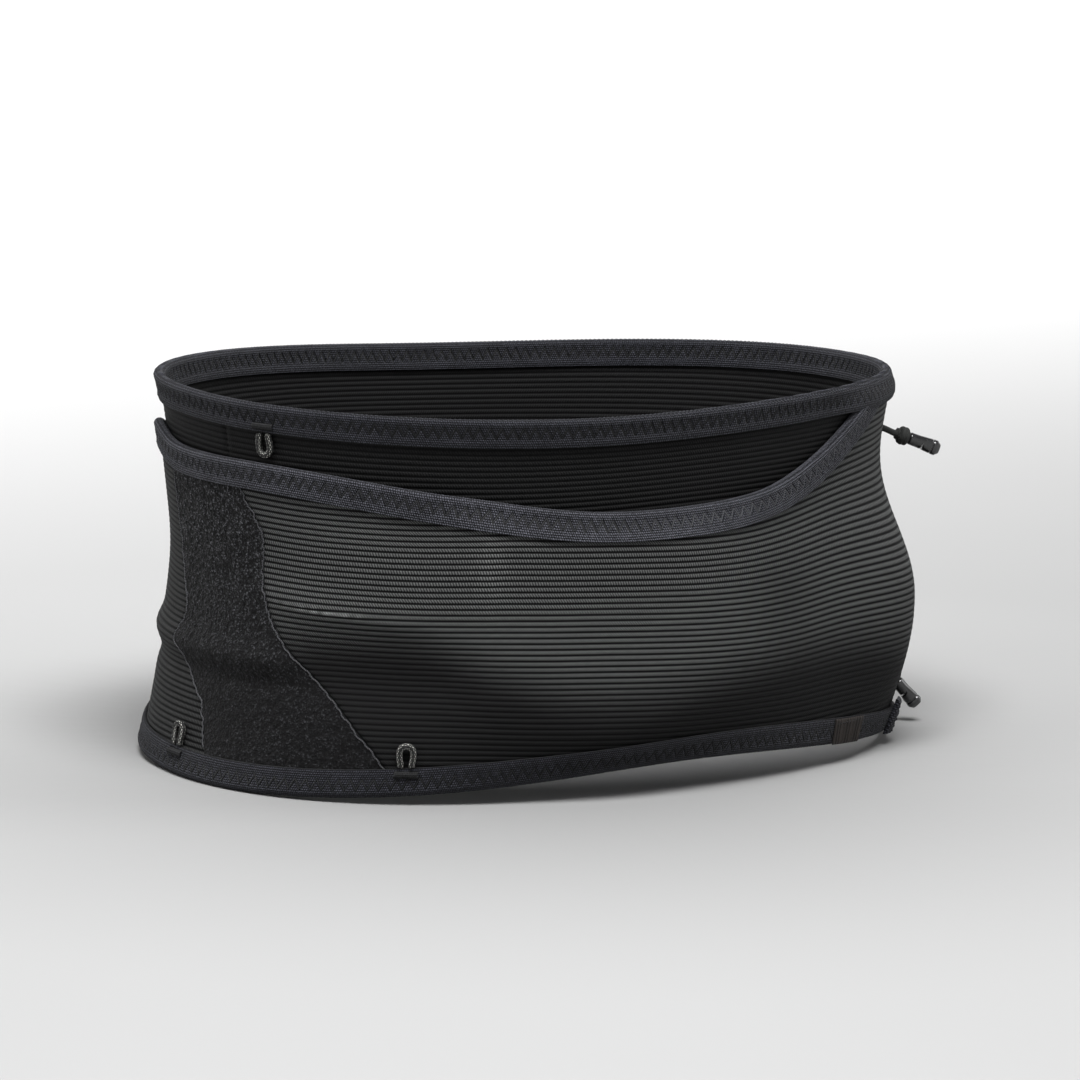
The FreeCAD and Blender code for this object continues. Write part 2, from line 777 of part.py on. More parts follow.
def check(doc):
    """Stop at any object that failed or any sub-part without a sound shape."""
    for item in doc.Objects:
        if "Invalid" in item.State or "Error" in item.State:
            raise RuntimeError("%s failed: %s" % (item.Name, item.State))
    for label in SUB_PARTS:
        shape = doc.getObjectsByLabel(label)[0].Shape
        if shape.isNull() or not shape.isValid() or shape.Volume <= 0:
            raise RuntimeError("%s has no sound shape" % label)


def write(doc):
    """Write each sub-part to a STEP file of its own name."""
    os.makedirs("parts", exist_ok=True)
    for label in SUB_PARTS:
        doc.getObjectsByLabel(label)[0].Shape.exportStep("parts/%s.step" % label)


def main():
    """Build the belt, check it and write its sub-parts."""
    doc = FreeCAD.newDocument("waist_belt")
    belt = Belt(make_sheet(doc))
    make_bands(doc, belt)
    make_panels(doc, belt)
    make_seam_tapes(doc, belt)
    make_bindings(doc, belt)
    make_hem_trim(doc, belt)
    make_cord_loops(doc, belt)
    make_hooks(doc, belt)
    make_tacks(doc, belt)
    doc.recompute()
    check(doc)
    write(doc)


main()
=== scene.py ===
"""Stretch waist belt: the finished look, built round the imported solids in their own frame.

The belt is a closed ring of ribbed stretch mesh with open-topped pockets, fold-over elastic
bindings, a napped side panel, small cord loops and two toggle hooks. Angles run round the ring
from the spine (-Y) towards the wearer's right (+X), in degrees. Shapes are worked out in
millimetres and become metres where a mesh is written.
"""
import logging
import math
from dataclasses import dataclass, field
from enum import Enum
from typing import Callable, Optional, Sequence, Union

import bpy
import numpy as np
from mathutils import Matrix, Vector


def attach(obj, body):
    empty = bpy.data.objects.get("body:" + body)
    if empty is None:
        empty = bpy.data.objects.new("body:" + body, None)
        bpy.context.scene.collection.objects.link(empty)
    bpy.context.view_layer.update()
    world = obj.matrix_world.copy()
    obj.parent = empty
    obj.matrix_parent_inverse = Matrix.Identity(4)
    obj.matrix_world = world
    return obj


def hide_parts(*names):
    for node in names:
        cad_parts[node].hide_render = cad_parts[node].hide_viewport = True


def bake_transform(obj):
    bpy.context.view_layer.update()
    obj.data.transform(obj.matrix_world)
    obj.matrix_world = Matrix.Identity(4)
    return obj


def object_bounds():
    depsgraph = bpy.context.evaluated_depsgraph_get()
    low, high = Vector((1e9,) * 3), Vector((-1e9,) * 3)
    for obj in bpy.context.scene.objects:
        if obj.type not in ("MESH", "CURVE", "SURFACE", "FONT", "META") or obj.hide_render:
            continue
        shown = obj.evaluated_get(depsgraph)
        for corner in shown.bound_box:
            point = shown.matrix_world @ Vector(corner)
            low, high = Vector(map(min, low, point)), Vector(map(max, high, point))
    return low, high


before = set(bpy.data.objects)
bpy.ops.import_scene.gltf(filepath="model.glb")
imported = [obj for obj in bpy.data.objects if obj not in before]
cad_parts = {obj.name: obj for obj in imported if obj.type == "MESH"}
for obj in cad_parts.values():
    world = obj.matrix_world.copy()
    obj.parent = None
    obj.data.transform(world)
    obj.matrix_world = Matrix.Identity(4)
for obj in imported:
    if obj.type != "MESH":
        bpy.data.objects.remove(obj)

CAD_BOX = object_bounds()

log = logging.getLogger("waist_belt")

Array = np.ndarray
Number = Union[float, Array]
Place = Callable[[Array, Array], Array]
MM = 0.001


# ---------------------------------------------------------------- small sums

def bell(value: Number, middle: float, spread: float) -> Number:
    """Bump of height 1 round a middle: e to the minus square of the distance over the spread."""
    return np.exp(-((value - middle) / spread) ** 2)


def ease(share: Number) -> Number:
    """Half a cosine from 0 to 1, held at both ends."""
    return (1 - np.cos(np.pi * np.clip(share, 0.0, 1.0))) / 2


def rise_between(value: Number, start: float, end: float) -> Number:
    """Eased rise from 0 at the start to 1 at the end."""
    return ease((value - start) / (end - start))


def wave(angle: Number, crest: float) -> Number:
    """Two waves round the ring, with one crest at the given angle."""
    return np.cos(2 * np.radians(angle - crest))


def through(value: Number, stops: Sequence[tuple[float, float]], blur: float) -> Number:
    """Line through stops with its corners rounded: the mean of five copies of it, shifted.

    Args:
        value: where the line is read.
        stops: pairs of place and height, in order of place.
        blur: the largest shift.

    Returns:
        The line's height at each value.
    """
    places, heights = np.array(stops).T
    shifts = np.linspace(-blur, blur, 5)
    return np.mean([np.interp(value + shift, places, heights) for shift in shifts], axis=0)


def mottle(across: Array, along: Array, seed: int) -> Array:
    """Smooth random field from -1 to 1 with features one unit wide.

    Each whole-number point has a random value from a seeded table, and a place between four of
    them takes their mean, weighted by eased distances.
    """
    table = np.random.default_rng(seed).random(4096) * 2 - 1
    left, low = np.floor(across).astype(int), np.floor(along).astype(int)
    right_share, up_share = ease(across - left), ease(along - low)

    def value(column: Array, row: Array) -> Array:
        """Table value of a whole-number point."""
        return table[(column * 1619 + row * 3137) % 4096]

    bottom = value(left, low) * (1 - right_share) + value(left + 1, low) * right_share
    top = value(left, low + 1) * (1 - right_share) + value(left + 1, low + 1) * right_share
    return bottom * (1 - up_share) + top * up_share


def unit(vectors: Array) -> Array:
    """Vectors of the same directions and length 1."""
    return vectors / np.maximum(np.linalg.norm(vectors, axis=-1, keepdims=True), 1e-12)


# ---------------------------------------------------------------- meshes from grids

class Ends(Enum):
    """How the two open ends of a carried profile are closed."""
    JOINED = "joined"
    STRIP = "strip"
    FACE = "face"


def write_mesh(name: str, points: Array, chart: Array, ends: Ends) -> bpy.types.Object:
    """Closed surface from a profile carried along a path.

    Row i of the grid is one point of the closed profile, and column j one place along the path.
    Each quad joins neighbours (i, j), (i, j + 1), (i + 1, j + 1) and (i + 1, j).

    Args:
        name: the piece's name.
        points: rows by columns by 3, in millimetres; the rows close on themselves.
        chart: rows + 1 by columns + 1 by 2, the flat coordinates of the unrolled grid.
        ends: JOINED where the path closes on itself, STRIP where the profile is a sheet's front
            and then its back, FACE for one flat face over each end.

    Returns:
        The new object, linked to the scene.
    """
    rows, columns = points.shape[:2]
    last = columns if ends is Ends.JOINED else columns - 1
    row, column = (part.ravel() for part in np.meshgrid(np.arange(rows), np.arange(last), indexing="ij"))
    corner_rows = np.stack([row, row, row + 1, row + 1], axis=1)
    corner_columns = np.stack([column, column + 1, column + 1, column], axis=1)
    if ends is Ends.STRIP:
        step = np.arange(rows // 2 - 1)
        back = rows - 1 - step
        first, final = (step, step + 1, back - 1, back), (step + 1, step, back, back - 1)
        for edge, order in ((0, first), (columns - 1, final)):
            corner_rows = np.concatenate([corner_rows, np.stack(order, axis=1)])
            corner_columns = np.concatenate([corner_columns, np.full((len(step), 4), edge)])
    faces = ((corner_rows % rows) * columns + corner_columns % columns).tolist()
    flat = chart[corner_rows, corner_columns].reshape(-1, 2)
    if ends is Ends.FACE:
        ring = np.arange(rows)
        faces += [(ring * columns).tolist(), (ring[::-1] * columns + columns - 1).tolist()]
        flat = np.concatenate([flat, chart[ring, 0], chart[ring[::-1], columns - 1]])
    mesh = bpy.data.meshes.new(name)
    mesh.from_pydata((points.reshape(-1, 3) * MM).tolist(), [], faces)
    mesh.uv_layers.new(name="yarn").data.foreach_set("uv", flat.astype(np.float32).ravel())
    mesh.polygons.foreach_set("use_smooth", [True] * len(mesh.polygons))
    mesh.update()
    piece = bpy.data.objects.new(name, mesh)
    bpy.context.scene.collection.objects.link(piece)
    return piece


def two_sided(name: str, front: Array, back: Array, front_chart: Array, back_chart: Array,
              joined: bool = False) -> bpy.types.Object:
    """Sheet with a front and a back, as one closed surface.

    The profile is the front's rows upwards and then the back's rows downwards.

    Args:
        name: the piece's name.
        front, back: rows by columns by 3, in millimetres.
        front_chart, back_chart: rows by columns + 1 by 2.
        joined: whether the last column meets the first.

    Returns:
        The new object.
    """
    points = np.concatenate([front, back[::-1]])
    chart = np.concatenate([front_chart, back_chart[::-1], back_chart[:1]])
    return write_mesh(name, points, chart, Ends.JOINED if joined else Ends.STRIP)


def tube_points(path: Array, normal: Array, radius: Number, sides: int) -> Array:
    """Grid of a round tube: the path plus radius times (normal cos t + side sin t).

    Args:
        path: points of the middle line, columns by 3.
        normal: a direction that is never along the path, columns by 3.
        radius: one number, or sides by columns.
        sides: points round the section.

    Returns:
        sides by columns by 3.
    """
    forward = unit(np.gradient(path, axis=0))
    normal = unit(normal - forward * np.sum(normal * forward, axis=-1, keepdims=True))
    side = np.cross(normal, forward)
    turn = np.linspace(0, 2 * np.pi, sides, endpoint=False)[:, None, None]
    radius = np.broadcast_to(radius, (sides, len(path)))[:, :, None]
    return path + radius * (normal * np.cos(turn) + side * np.sin(turn))


def arc_lengths(path: Array) -> Array:
    """Distance along a path from its first point, in the path's own unit."""
    steps = np.linalg.norm(np.diff(path, axis=0), axis=-1)
    return np.concatenate([[0.0], np.cumsum(steps)])


def tube_chart(path: Array, sides: int) -> Array:
    """Flat coordinates of a tube: turns round it, and distance along it."""
    along = arc_lengths(path)
    along = np.append(along, along[-1])
    around = np.linspace(0, 1, sides + 1)
    return np.stack(np.meshgrid(around, along, indexing="ij"), axis=-1)


def tube(name: str, path: Array, normal: Array, radius: Number, sides: int) -> bpy.types.Object:
    """Closed round tube along an open path, in millimetres."""
    return write_mesh(name, tube_points(path, normal, radius, sides), tube_chart(path, sides), Ends.FACE)


def merged(name: str, pieces: Sequence[bpy.types.Object]) -> bpy.types.Object:
    """One object that holds the meshes of several, each as it is."""
    with bpy.context.temp_override(active_object=pieces[0], selected_editable_objects=list(pieces)):
        bpy.ops.object.join()
    pieces[0].name = name
    return pieces[0]


# ---------------------------------------------------------------- the ring's own shape

@dataclass(frozen=True)
class BeltForm:
    """Radius, edge heights and standing-off of the pocket layer, in millimetres and degrees."""
    half_width: float = 139.0
    half_depth: float = 100.0
    roundness: float = 2.2
    half_height: float = 68.25
    binding_width: float = 10.5
    binding_wall: float = 1.0
    gap: float = 0.3
    mesh: float = 1.2
    napped: float = 1.4
    tape: float = 0.8
    seam: float = 76.0
    mouth_low: float = 31.25
    mouth_side: float = 46.95

    def skin(self, angle: Number, height: Number) -> Number:
        """Radius of the inner face: a superellipse, narrowest near mid-height."""
        turn = np.radians(angle)
        across = (np.abs(np.sin(turn)) / self.half_width) ** self.roundness
        along = (np.abs(np.cos(turn)) / self.half_depth) ** self.roundness
        share = height / self.half_height
        return (across + along) ** (-1 / self.roundness) * (1 + 0.0565 * share ** 2 - 0.0095 * share)

    def point(self, angle: Number, height: Number, offset: Number) -> Array:
        """Points that stand off the inner face by the offset, along the last axis."""
        turn = np.radians(angle)
        radius = self.skin(angle, height) + offset
        return np.stack(np.broadcast_arrays(radius * np.sin(turn), -radius * np.cos(turn), height), axis=-1)

    def top(self, angle: Number) -> Number:
        """Height of the belt's top edge."""
        return self.half_height - 2.3 * wave(angle, -25.0)

    def bottom(self, angle: Number) -> Number:
        """Height of the belt's bottom edge."""
        return -self.half_height - 1.0 + 5.5 * wave(angle, 8.0)

    def under_top(self, angle: Number) -> Number:
        """Highest place for a piece that stops below the top binding."""
        return self.top(angle) - self.binding_width - self.gap

    def over_bottom(self, angle: Number) -> Number:
        """Lowest place for a piece that starts above the bottom binding."""
        return self.bottom(angle) + self.binding_width + self.gap

    def wrapped(self, angle: Number) -> Number:
        """The same place counted from the right seam, where the pocket layer's ends meet."""
        return np.where(angle > self.seam, angle - 360, angle)

    def mouth(self, angle: Number) -> Number:
        """Height of the pocket mouth: low at the middle of each pocket, rising to the seam."""
        angle = self.wrapped(np.asarray(angle, dtype=float))
        low, side = self.mouth_low, self.mouth_side
        tip = side + 5.5 * bell(angle, -106.0, 8.0)
        back_slope = tip + (low - side) * ease((angle + 80) / 70)
        front_slope = tip + (low - side) * ease((angle + 116) / -56)
        back_end = low + 30 * (np.maximum(angle + 10, 0) / 58) ** 3
        front_end = low + 30 * (np.maximum(-172 - angle, 0) / 73) ** 3
        cases = [angle > -10, angle < -172, angle > -80, angle < -116]
        return np.select(cases, [back_end, front_end, back_slope, front_slope], tip)

    def gape(self, angle: Number) -> Number:
        """How far the mouth stands off the inner band: squared sines over each pocket's mouth."""
        angle = self.wrapped(angle)
        back = 8 * np.sin(np.pi * np.clip((angle + 80) / 128, 0, 1)) ** 2
        front = 6 * np.sin(np.pi * np.clip((angle + 116) / -129, 0, 1)) ** 2
        return back + front

    def fullness(self, angle: Number) -> Number:
        """How far the pocket bellies out: a sine over each pocket and a bump at the right hip."""
        angle = self.wrapped(angle)
        share = np.clip((angle + 75.5) / 151.5, 0, 1)
        back = (11 * np.sin(np.pi * share) + 20.5 * bell(angle, 60.0, 14.0)) * (1 - share ** 14)
        front = 9 * np.sin(np.pi * np.clip((-97 - angle) / 187, 0, 1)) ** 2
        return np.where(angle > -75.5, back, 0) + front

    def fullest(self, angle: Number) -> Number:
        """Height at which the pocket bellies out most: low at the spine, higher at both ends."""
        stops = ((-280, -13), (-120, -13), (-78, -8), (-52, -9), (-42, -20), (-33, -34), (-18, -46),
                 (-4, -42), (8, -32), (25, -18), (45, -15), (80, -13))
        return through(self.wrapped(angle), stops, 5.0)

    def lean(self, angle: Number) -> Number:
        """How far the back pocket's mouth leans in over the pocket below it."""
        return 5.0 * rise_between(angle, -50.0, -36.0) * (1 - rise_between(angle, 2.0, 24.0))

    def ridge(self, angle: Number, height: Number) -> Number:
        """Creases in the back pocket: a long one beside the side panel, and a short upright one."""
        side = rise_between(angle, -80.0, -68.0) * (1 - rise_between(angle, -58.0, -40.0))
        line = -3.0 - 0.28 * (angle + 70)
        sharp = np.maximum(1 - np.abs(height - line) / 9.0, 0.0)
        beside = rise_between(angle, -78.0, -60.0) * (1 - rise_between(angle, -48.0, -34.0))
        under = bell(height, -30.0, 14.0) * beside
        upright = bell(angle, -37.6, 1.6) * bell(height, 11.0, 16.0)
        return 1.6 * side * sharp ** 1.4 - 3.2 * under + 0.5 * upright

    def folds(self, angle: Number, height: Number) -> Number:
        """Level folds at the wearer's left, where the cloth sags on the waist."""
        angle = self.wrapped(angle)
        there = rise_between(angle, -140.0, -120.0) * (1 - rise_between(angle, -74.0, -62.0))
        return there * (2.2 * bell(height, -26.0, 5.0) - 1.0 * bell(height, -35.0, 4.0)
                        - 1.5 * bell(height, 4.0, 20.0))

    def layer(self, angle: Number, height: Number) -> Number:
        """Standing-off of the pocket layer's inner face at a place."""
        bottom = self.bottom(angle)
        depth = np.minimum(self.mouth(angle), self.under_top(angle)) - bottom
        rise = np.clip((height - bottom) / depth, 0, 1)
        rest = 1 - 1.5 * self.binding_width / depth
        seat = self.mesh + self.gap + (self.binding_wall + self.gap) * np.minimum(rise / rest, 1)
        fullest = self.fullest(angle)
        below = np.sin(np.pi / 2 * np.clip((height - bottom) / (fullest - bottom), 0, 1))
        reach = 60 - 0.6 * (fullest + 13)
        above = np.cos(np.pi / 2 * np.clip((height - fullest) / reach, 0, 1)) ** 2
        belly = np.where(height < fullest, below, above)
        inward = self.lean(angle) * ease(1 - (self.mouth(angle) - height) / 15)
        outward = (self.ridge(angle, height) + self.folds(angle, height)) * ease(rise * 5)
        return seat + self.gape(angle) * rise ** 1.5 + self.fullness(angle) * belly - inward + outward

    def normal(self, angle: Array, height: Array, offset: Place) -> Array:
        """Outward unit normals of the cloth that stands off by offset(angle, height)."""
        def at(turn: Array, level: Array) -> Array:
            """The cloth's own point."""
            return self.point(turn, level, offset(turn, level))

        along = at(angle + 0.2, height) - at(angle - 0.2, height)
        climb = at(angle, height + 0.5) - at(angle, height - 0.5)
        return unit(np.cross(along, climb))

    def rear_edge(self, height: Number) -> Number:
        """Edge between the side panel and the back pocket: upright, then sweeping to the hem."""
        return through(height, ((-75, -51), (-62, -53), (-55, -55.2), (-40, -61), (-29, -66), (-19, -70.5),
                                (-10, -73), (4, -75), (20, -74.5), (27, -76), (36, -78.5)), 1.5)

    def front_edge(self, height: Number) -> Number:
        """Edge between the side panel and the front pocket, pushed about by the folds."""
        return through(height, ((-75, -82), (-61, -83), (-46, -85.3), (-40, -88.5), (-27, -94.5),
                                (-14, -93), (3, -96), (36, -97)), 1.5)

    def mouth_place(self, angle: Array, depth: Number) -> tuple[Array, Array]:
        """Angle and height of the place that lies a depth below the mouth's edge, square to it."""
        radius = self.skin(angle, self.mouth(angle))
        slope = np.arctan2(self.mouth(angle + 0.5) - self.mouth(angle - 0.5), np.radians(1.0) * radius)
        turn = np.degrees(depth * np.sin(slope) / radius)
        return angle + turn, self.mouth(angle) - depth * np.cos(slope)

    def ring_length(self, start: float, end: float) -> float:
        """Length of the waistline between two angles."""
        angle = np.linspace(start, end, 200)
        return float(arc_lengths(self.point(angle, 0 * angle, 0.0))[-1])


FORM = BeltForm()


@dataclass(frozen=True)
class Seat:
    """Local axes on the cloth: across the ring, up (or down) the cloth, and outwards."""
    origin: Array
    across: Array
    climb: Array
    outward: Array

    @classmethod
    def on_cloth(cls, angle: float, height: float, offset: Place, down: bool = False) -> "Seat":
        """Seat at a place on the cloth that stands off by offset(angle, height)."""
        reach = -1.0 if down else 1.0

        def at(turn: float, level: float) -> Array:
            """The cloth's own point."""
            return FORM.point(turn, level, offset(turn, level))

        origin = at(angle, height)
        climb = unit(at(angle, height + reach) - origin)
        outward = unit(np.cross(at(angle + reach, height) - origin, climb))
        return cls(origin, np.cross(climb, outward), climb, outward)

    def place(self, local: Array) -> Array:
        """Points given in the seat's own axes."""
        return (self.origin + local[..., :1] * self.across + local[..., 1:2] * self.climb
                + local[..., 2:3] * self.outward)


# ---------------------------------------------------------------- shader wiring

class Wire:
    """A shader value, on which Python's operators add Math nodes."""

    def __init__(self, bench: "Bench", socket: bpy.types.NodeSocket) -> None:
        self.bench = bench
        self.socket = socket

    def _math(self, operation: str, first: object, second: object = None) -> "Wire":
        """One Math node of one or two values."""
        values = {0: first} if second is None else {0: first, 1: second}
        return self.bench.node("ShaderNodeMath", {"operation": operation}, values)

    def __add__(self, other: object) -> "Wire":
        """Sum."""
        return self._math("ADD", self, other)

    __radd__ = __add__

    def __sub__(self, other: object) -> "Wire":
        """Difference."""
        return self._math("SUBTRACT", self, other)

    def __rsub__(self, other: object) -> "Wire":
        """Difference from a number."""
        return self._math("SUBTRACT", other, self)

    def __mul__(self, other: object) -> "Wire":
        """Product."""
        return self._math("MULTIPLY", self, other)

    __rmul__ = __mul__

    def __truediv__(self, other: object) -> "Wire":
        """Quotient."""
        return self._math("DIVIDE", self, other)

    def __pow__(self, other: object) -> "Wire":
        """Power."""
        return self._math("POWER", self, other)

    def __abs__(self) -> "Wire":
        """Size without its sign."""
        return self._math("ABSOLUTE", self)

    def part(self) -> "Wire":
        """Fraction above the whole number."""
        return self._math("FRACT", self)

    def sine(self) -> "Wire":
        """Sine of the value in radians."""
        return self._math("SINE", self)

    def most(self, other: object) -> "Wire":
        """The larger of two values."""
        return self._math("MAXIMUM", self, other)

    def ramp(self, start: float, end: float) -> "Wire":
        """Smooth rise from 0 at the start to 1 at the end."""
        values = {"Value": self, "From Min": start, "From Max": end}
        return self.bench.node("ShaderNodeMapRange", {"interpolation_type": "SMOOTHSTEP"}, values)

    def ridge(self) -> "Wire":
        """Triangle wave of period 1: 0 at whole numbers and 1 half-way."""
        return 1 - abs(self.part() * 2 - 1)


class Bench:
    """Node tree of one material, with its Principled shader."""

    def __init__(self, name: str) -> None:
        self.material = bpy.data.materials.new(name)
        self.material.use_nodes = True
        self.tree = self.material.node_tree
        self.tree.nodes.clear()
        self.output = self.tree.nodes.new("ShaderNodeOutputMaterial")
        self.shader = self.tree.nodes.new("ShaderNodeBsdfPrincipled")
        self.tree.links.new(self.shader.outputs[0], self.output.inputs[0])

    def feed(self, node: bpy.types.Node, values: dict) -> None:
        """Set or link a node's sockets: numbers and colours are set, wires are linked."""
        for key, value in values.items():
            if isinstance(value, Wire):
                self.tree.links.new(value.socket, node.inputs[key])
            else:
                node.inputs[key].default_value = value

    def node(self, kind: str, settings: Optional[dict] = None, values: Optional[dict] = None,
             output: Union[int, str] = 0) -> Wire:
        """Add one node.

        Args:
            kind: the node's type.
            settings: its own settings, made before its sockets are fed.
            values: numbers, colours or wires by socket.
            output: the socket that comes out.

        Returns:
            A wire from that socket.
        """
        made = self.tree.nodes.new(kind)
        for key, value in (settings or {}).items():
            setattr(made, key, value)
        self.feed(made, values or {})
        return Wire(self, made.outputs[output])

    def yarn(self) -> tuple[Wire, Wire]:
        """The piece's flat coordinates: along the cloth, and across it."""
        flat = self.node("ShaderNodeUVMap", {"uv_map": "yarn"})
        return tuple(self.node("ShaderNodeSeparateXYZ", None, {0: flat}, axis) for axis in (0, 1))

    def place(self) -> Wire:
        """Object coordinates, in metres."""
        return self.node("ShaderNodeTexCoord", None, None, "Object")

    def axis(self, index: int) -> Wire:
        """One of the object coordinates: 0 across, 1 ahead, 2 up."""
        return self.node("ShaderNodeSeparateXYZ", None, {0: self.place()}, index)

    def noise(self, scale: float, detail: float = 2.0, roughness: float = 0.5) -> Wire:
        """Cloudy noise over the object, in features per metre."""
        values = {"Vector": self.place(), "Scale": scale, "Detail": detail, "Roughness": roughness}
        return self.node("ShaderNodeTexNoise", None, values, "Fac")

    def mix(self, share: object, low: tuple, high: tuple) -> Wire:
        """Colour between two, by a share."""
        values = {"Factor": share, 6: low, 7: high}
        return self.node("ShaderNodeMix", {"data_type": "RGBA"}, values, 2)

    def bump(self, height: Wire, strength: float, distance: float) -> Wire:
        """Normal from a height, in shares of a distance in metres."""
        values = {"Strength": strength, "Distance": distance, "Height": height}
        return self.node("ShaderNodeBump", None, values)

    def finish(self, values: dict) -> bpy.types.Material:
        """Feed the Principled shader and give the material."""
        self.feed(self.shader, values)
        return self.material


def grey(tone: float, blue: float = 0.0) -> tuple[float, float, float, float]:
    """Neutral colour of a tone, with a share of extra blue."""
    return (tone, tone * (1 + 0.15 * blue), tone * (1 + blue), 1.0)


# ---------------------------------------------------------------- finishes

# Zigzag stitching: length of one zigzag, and its two edges across the tape, in millimetres
ZIGZAG_PITCH = 4.2
ZIGZAG = (3.1, 6.9)
# Place across the tape, in millimetres, where it folds over the edge
FOLD_PLACE = 10.44


@dataclass(frozen=True)
class RibbedMeshFinish:
    """Ribbed stretch mesh: rows of small slanted stitches between dark furrows, where the stitches are left
    out as painted shade.

    A stitch is as pale as the stored per-point value there times the finish's strength; over the back
    pocket that value is painted light and painted shade.
    """
    stitch: float = 1.04
    strength: float = 0.215
    slant: float = 0.9
    dark: tuple = (0.0013, 0.0013, 0.0015, 1.0)
    pale: tuple = (0.40, 0.41, 0.405, 1.0)
    sheen: float = 0.0

    def make(self) -> bpy.types.Material:
        """The material; the chart gives millimetres along the rib and ribs across."""
        bench = Bench("ribbed_stretch_mesh")
        along, across = bench.yarn()
        rib = across.part()
        # painted shade: the pale stitches are kept off the furrows between the ribs
        crest = rib.ridge().ramp(0.22, 0.62)
        stitch = (along / self.stitch + rib * self.slant).ridge().ramp(0.25, 0.8)
        uneven = bench.noise(900.0)
        # per-point value stored by the panel: painted light and painted shade over the back pocket
        paleness_and_painted_light = bench.node("ShaderNodeAttribute", {"attribute_name": "paleness_and_painted_light"}, None, "Fac")
        light = crest * (stitch * 0.8 + 0.2) * (uneven * 0.7 + 0.6) * paleness_and_painted_light * self.strength
        height = stitch * crest * 0.8 + uneven * 0.2
        return bench.finish({
            "Base Color": bench.mix(light, self.dark, self.pale),
            "Roughness": 0.75 - light * 0.25,
            "Specular IOR Level": 0.12,
            "Sheen Weight": self.sheen,
            "Sheen Roughness": 0.4,
            "Normal": bench.bump(height, 0.8, 0.0003),
        })


@dataclass(frozen=True)
class ElasticFinish:
    """Knitted fold-over elastic: fine heathered loops in rows across the band."""
    name: str = "fold_over_elastic"
    dark: tuple = (0.0035, 0.0036, 0.0048, 1.0)
    pale: tuple = (0.062, 0.064, 0.080, 1.0)
    loop: float = 0.85
    sheen: float = 0.04
    zigzag: bool = True

    def make(self) -> bpy.types.Material:
        """The material; the chart gives millimetres along and across the band."""
        bench = Bench(self.name)
        along, across = bench.yarn()
        row = across / self.loop
        loops = (along / self.loop + row * 0.5).ridge() * row.ridge()
        fibres = bench.noise(1900.0, 3.0, 0.65)
        cloud = bench.noise(120.0)
        light = (loops * 0.9 + fibres * 1.5 + cloud * 0.2 - 0.85).ramp(0.0, 1.0)
        groove = 0.0
        if self.zigzag:
            depth = abs(across - FOLD_PLACE)
            line = ZIGZAG[1] - (along / ZIGZAG_PITCH).ridge() * (ZIGZAG[1] - ZIGZAG[0])
            groove = 1 - abs(depth - line).ramp(0.35, 1.1)
            # painted shade: the elastic drawn darker along the zigzag's groove
            light = light * (1 - groove * 0.8)
        return bench.finish({
            "Base Color": bench.mix(light, self.dark, self.pale),
            "Roughness": 0.85 - light * 0.2,
            "Specular IOR Level": 0.12,
            "Sheen Weight": self.sheen,
            "Sheen Roughness": 0.5,
            "Normal": bench.bump(loops * 0.8 + fibres * 0.6 - groove, 1.0, 0.0006),
        })


@dataclass(frozen=True)
class NappedFinish:
    """Napped loop knit: black pile with light flecks where a loop catches the light, drawn brighter towards
    the top of the panel as painted light.
    """
    dark: tuple = (0.002, 0.002, 0.0022, 1.0)
    fleck: tuple = (0.13, 0.132, 0.145, 1.0)

    def make(self) -> bpy.types.Material:
        """The material; the chart gives millimetres along and up the panel."""
        bench = Bench("napped_loop_knit")
        fibres = bench.noise(1500.0, 4.0, 0.65)
        pile = bench.noise(520.0, 3.0, 0.6)
        cells = bench.node("ShaderNodeTexVoronoi", None,
                           {"Vector": bench.place(), "Scale": 900.0}, "Distance")
        # painted light: flecks drawn brighter over the upper part of the panel
        upper = bench.axis(2).ramp(-0.045, 0.03)
        tips = fibres.ramp(0.46, 0.66) * pile.ramp(0.36, 0.6)
        light = tips * (1 - cells.ramp(0.3, 0.75)) * (upper * 0.8 + 0.25)
        return bench.finish({
            "Base Color": bench.mix(light, self.dark, self.fleck),
            "Roughness": 0.9 - light * 0.3,
            "Specular IOR Level": 0.1,
            "Sheen Weight": 0.03,
            "Sheen Roughness": 0.6,
            "Normal": bench.bump(fibres * 0.6 + pile * 0.6 - cells * 0.3, 1.0, 0.001),
        })


@dataclass(frozen=True)
class ThreadFinish:
    """Polyester sewing thread: two fine strands twisted together."""
    name: str
    tone: float
    blue: float = 0.12
    twist: float = 0.7
    left_share: float = 1.0

    def make(self) -> bpy.types.Material:
        """The material; the chart gives turns round the thread and millimetres along it."""
        bench = Bench(self.name)
        around, along = bench.yarn()
        strand = (around + along / self.twist).ridge()
        right = bench.axis(0).ramp(-0.03, 0.03)
        lit = strand.ramp(0.1, 0.8) * (right * (1 - self.left_share) + self.left_share)
        return bench.finish({
            "Base Color": bench.mix(lit, grey(self.tone * 0.12, self.blue),
                                    grey(self.tone, self.blue)),
            "Roughness": 0.65 - strand * 0.15,
            "Specular IOR Level": 0.3,
            "Normal": bench.bump(strand, 0.6, 0.0001),
        })


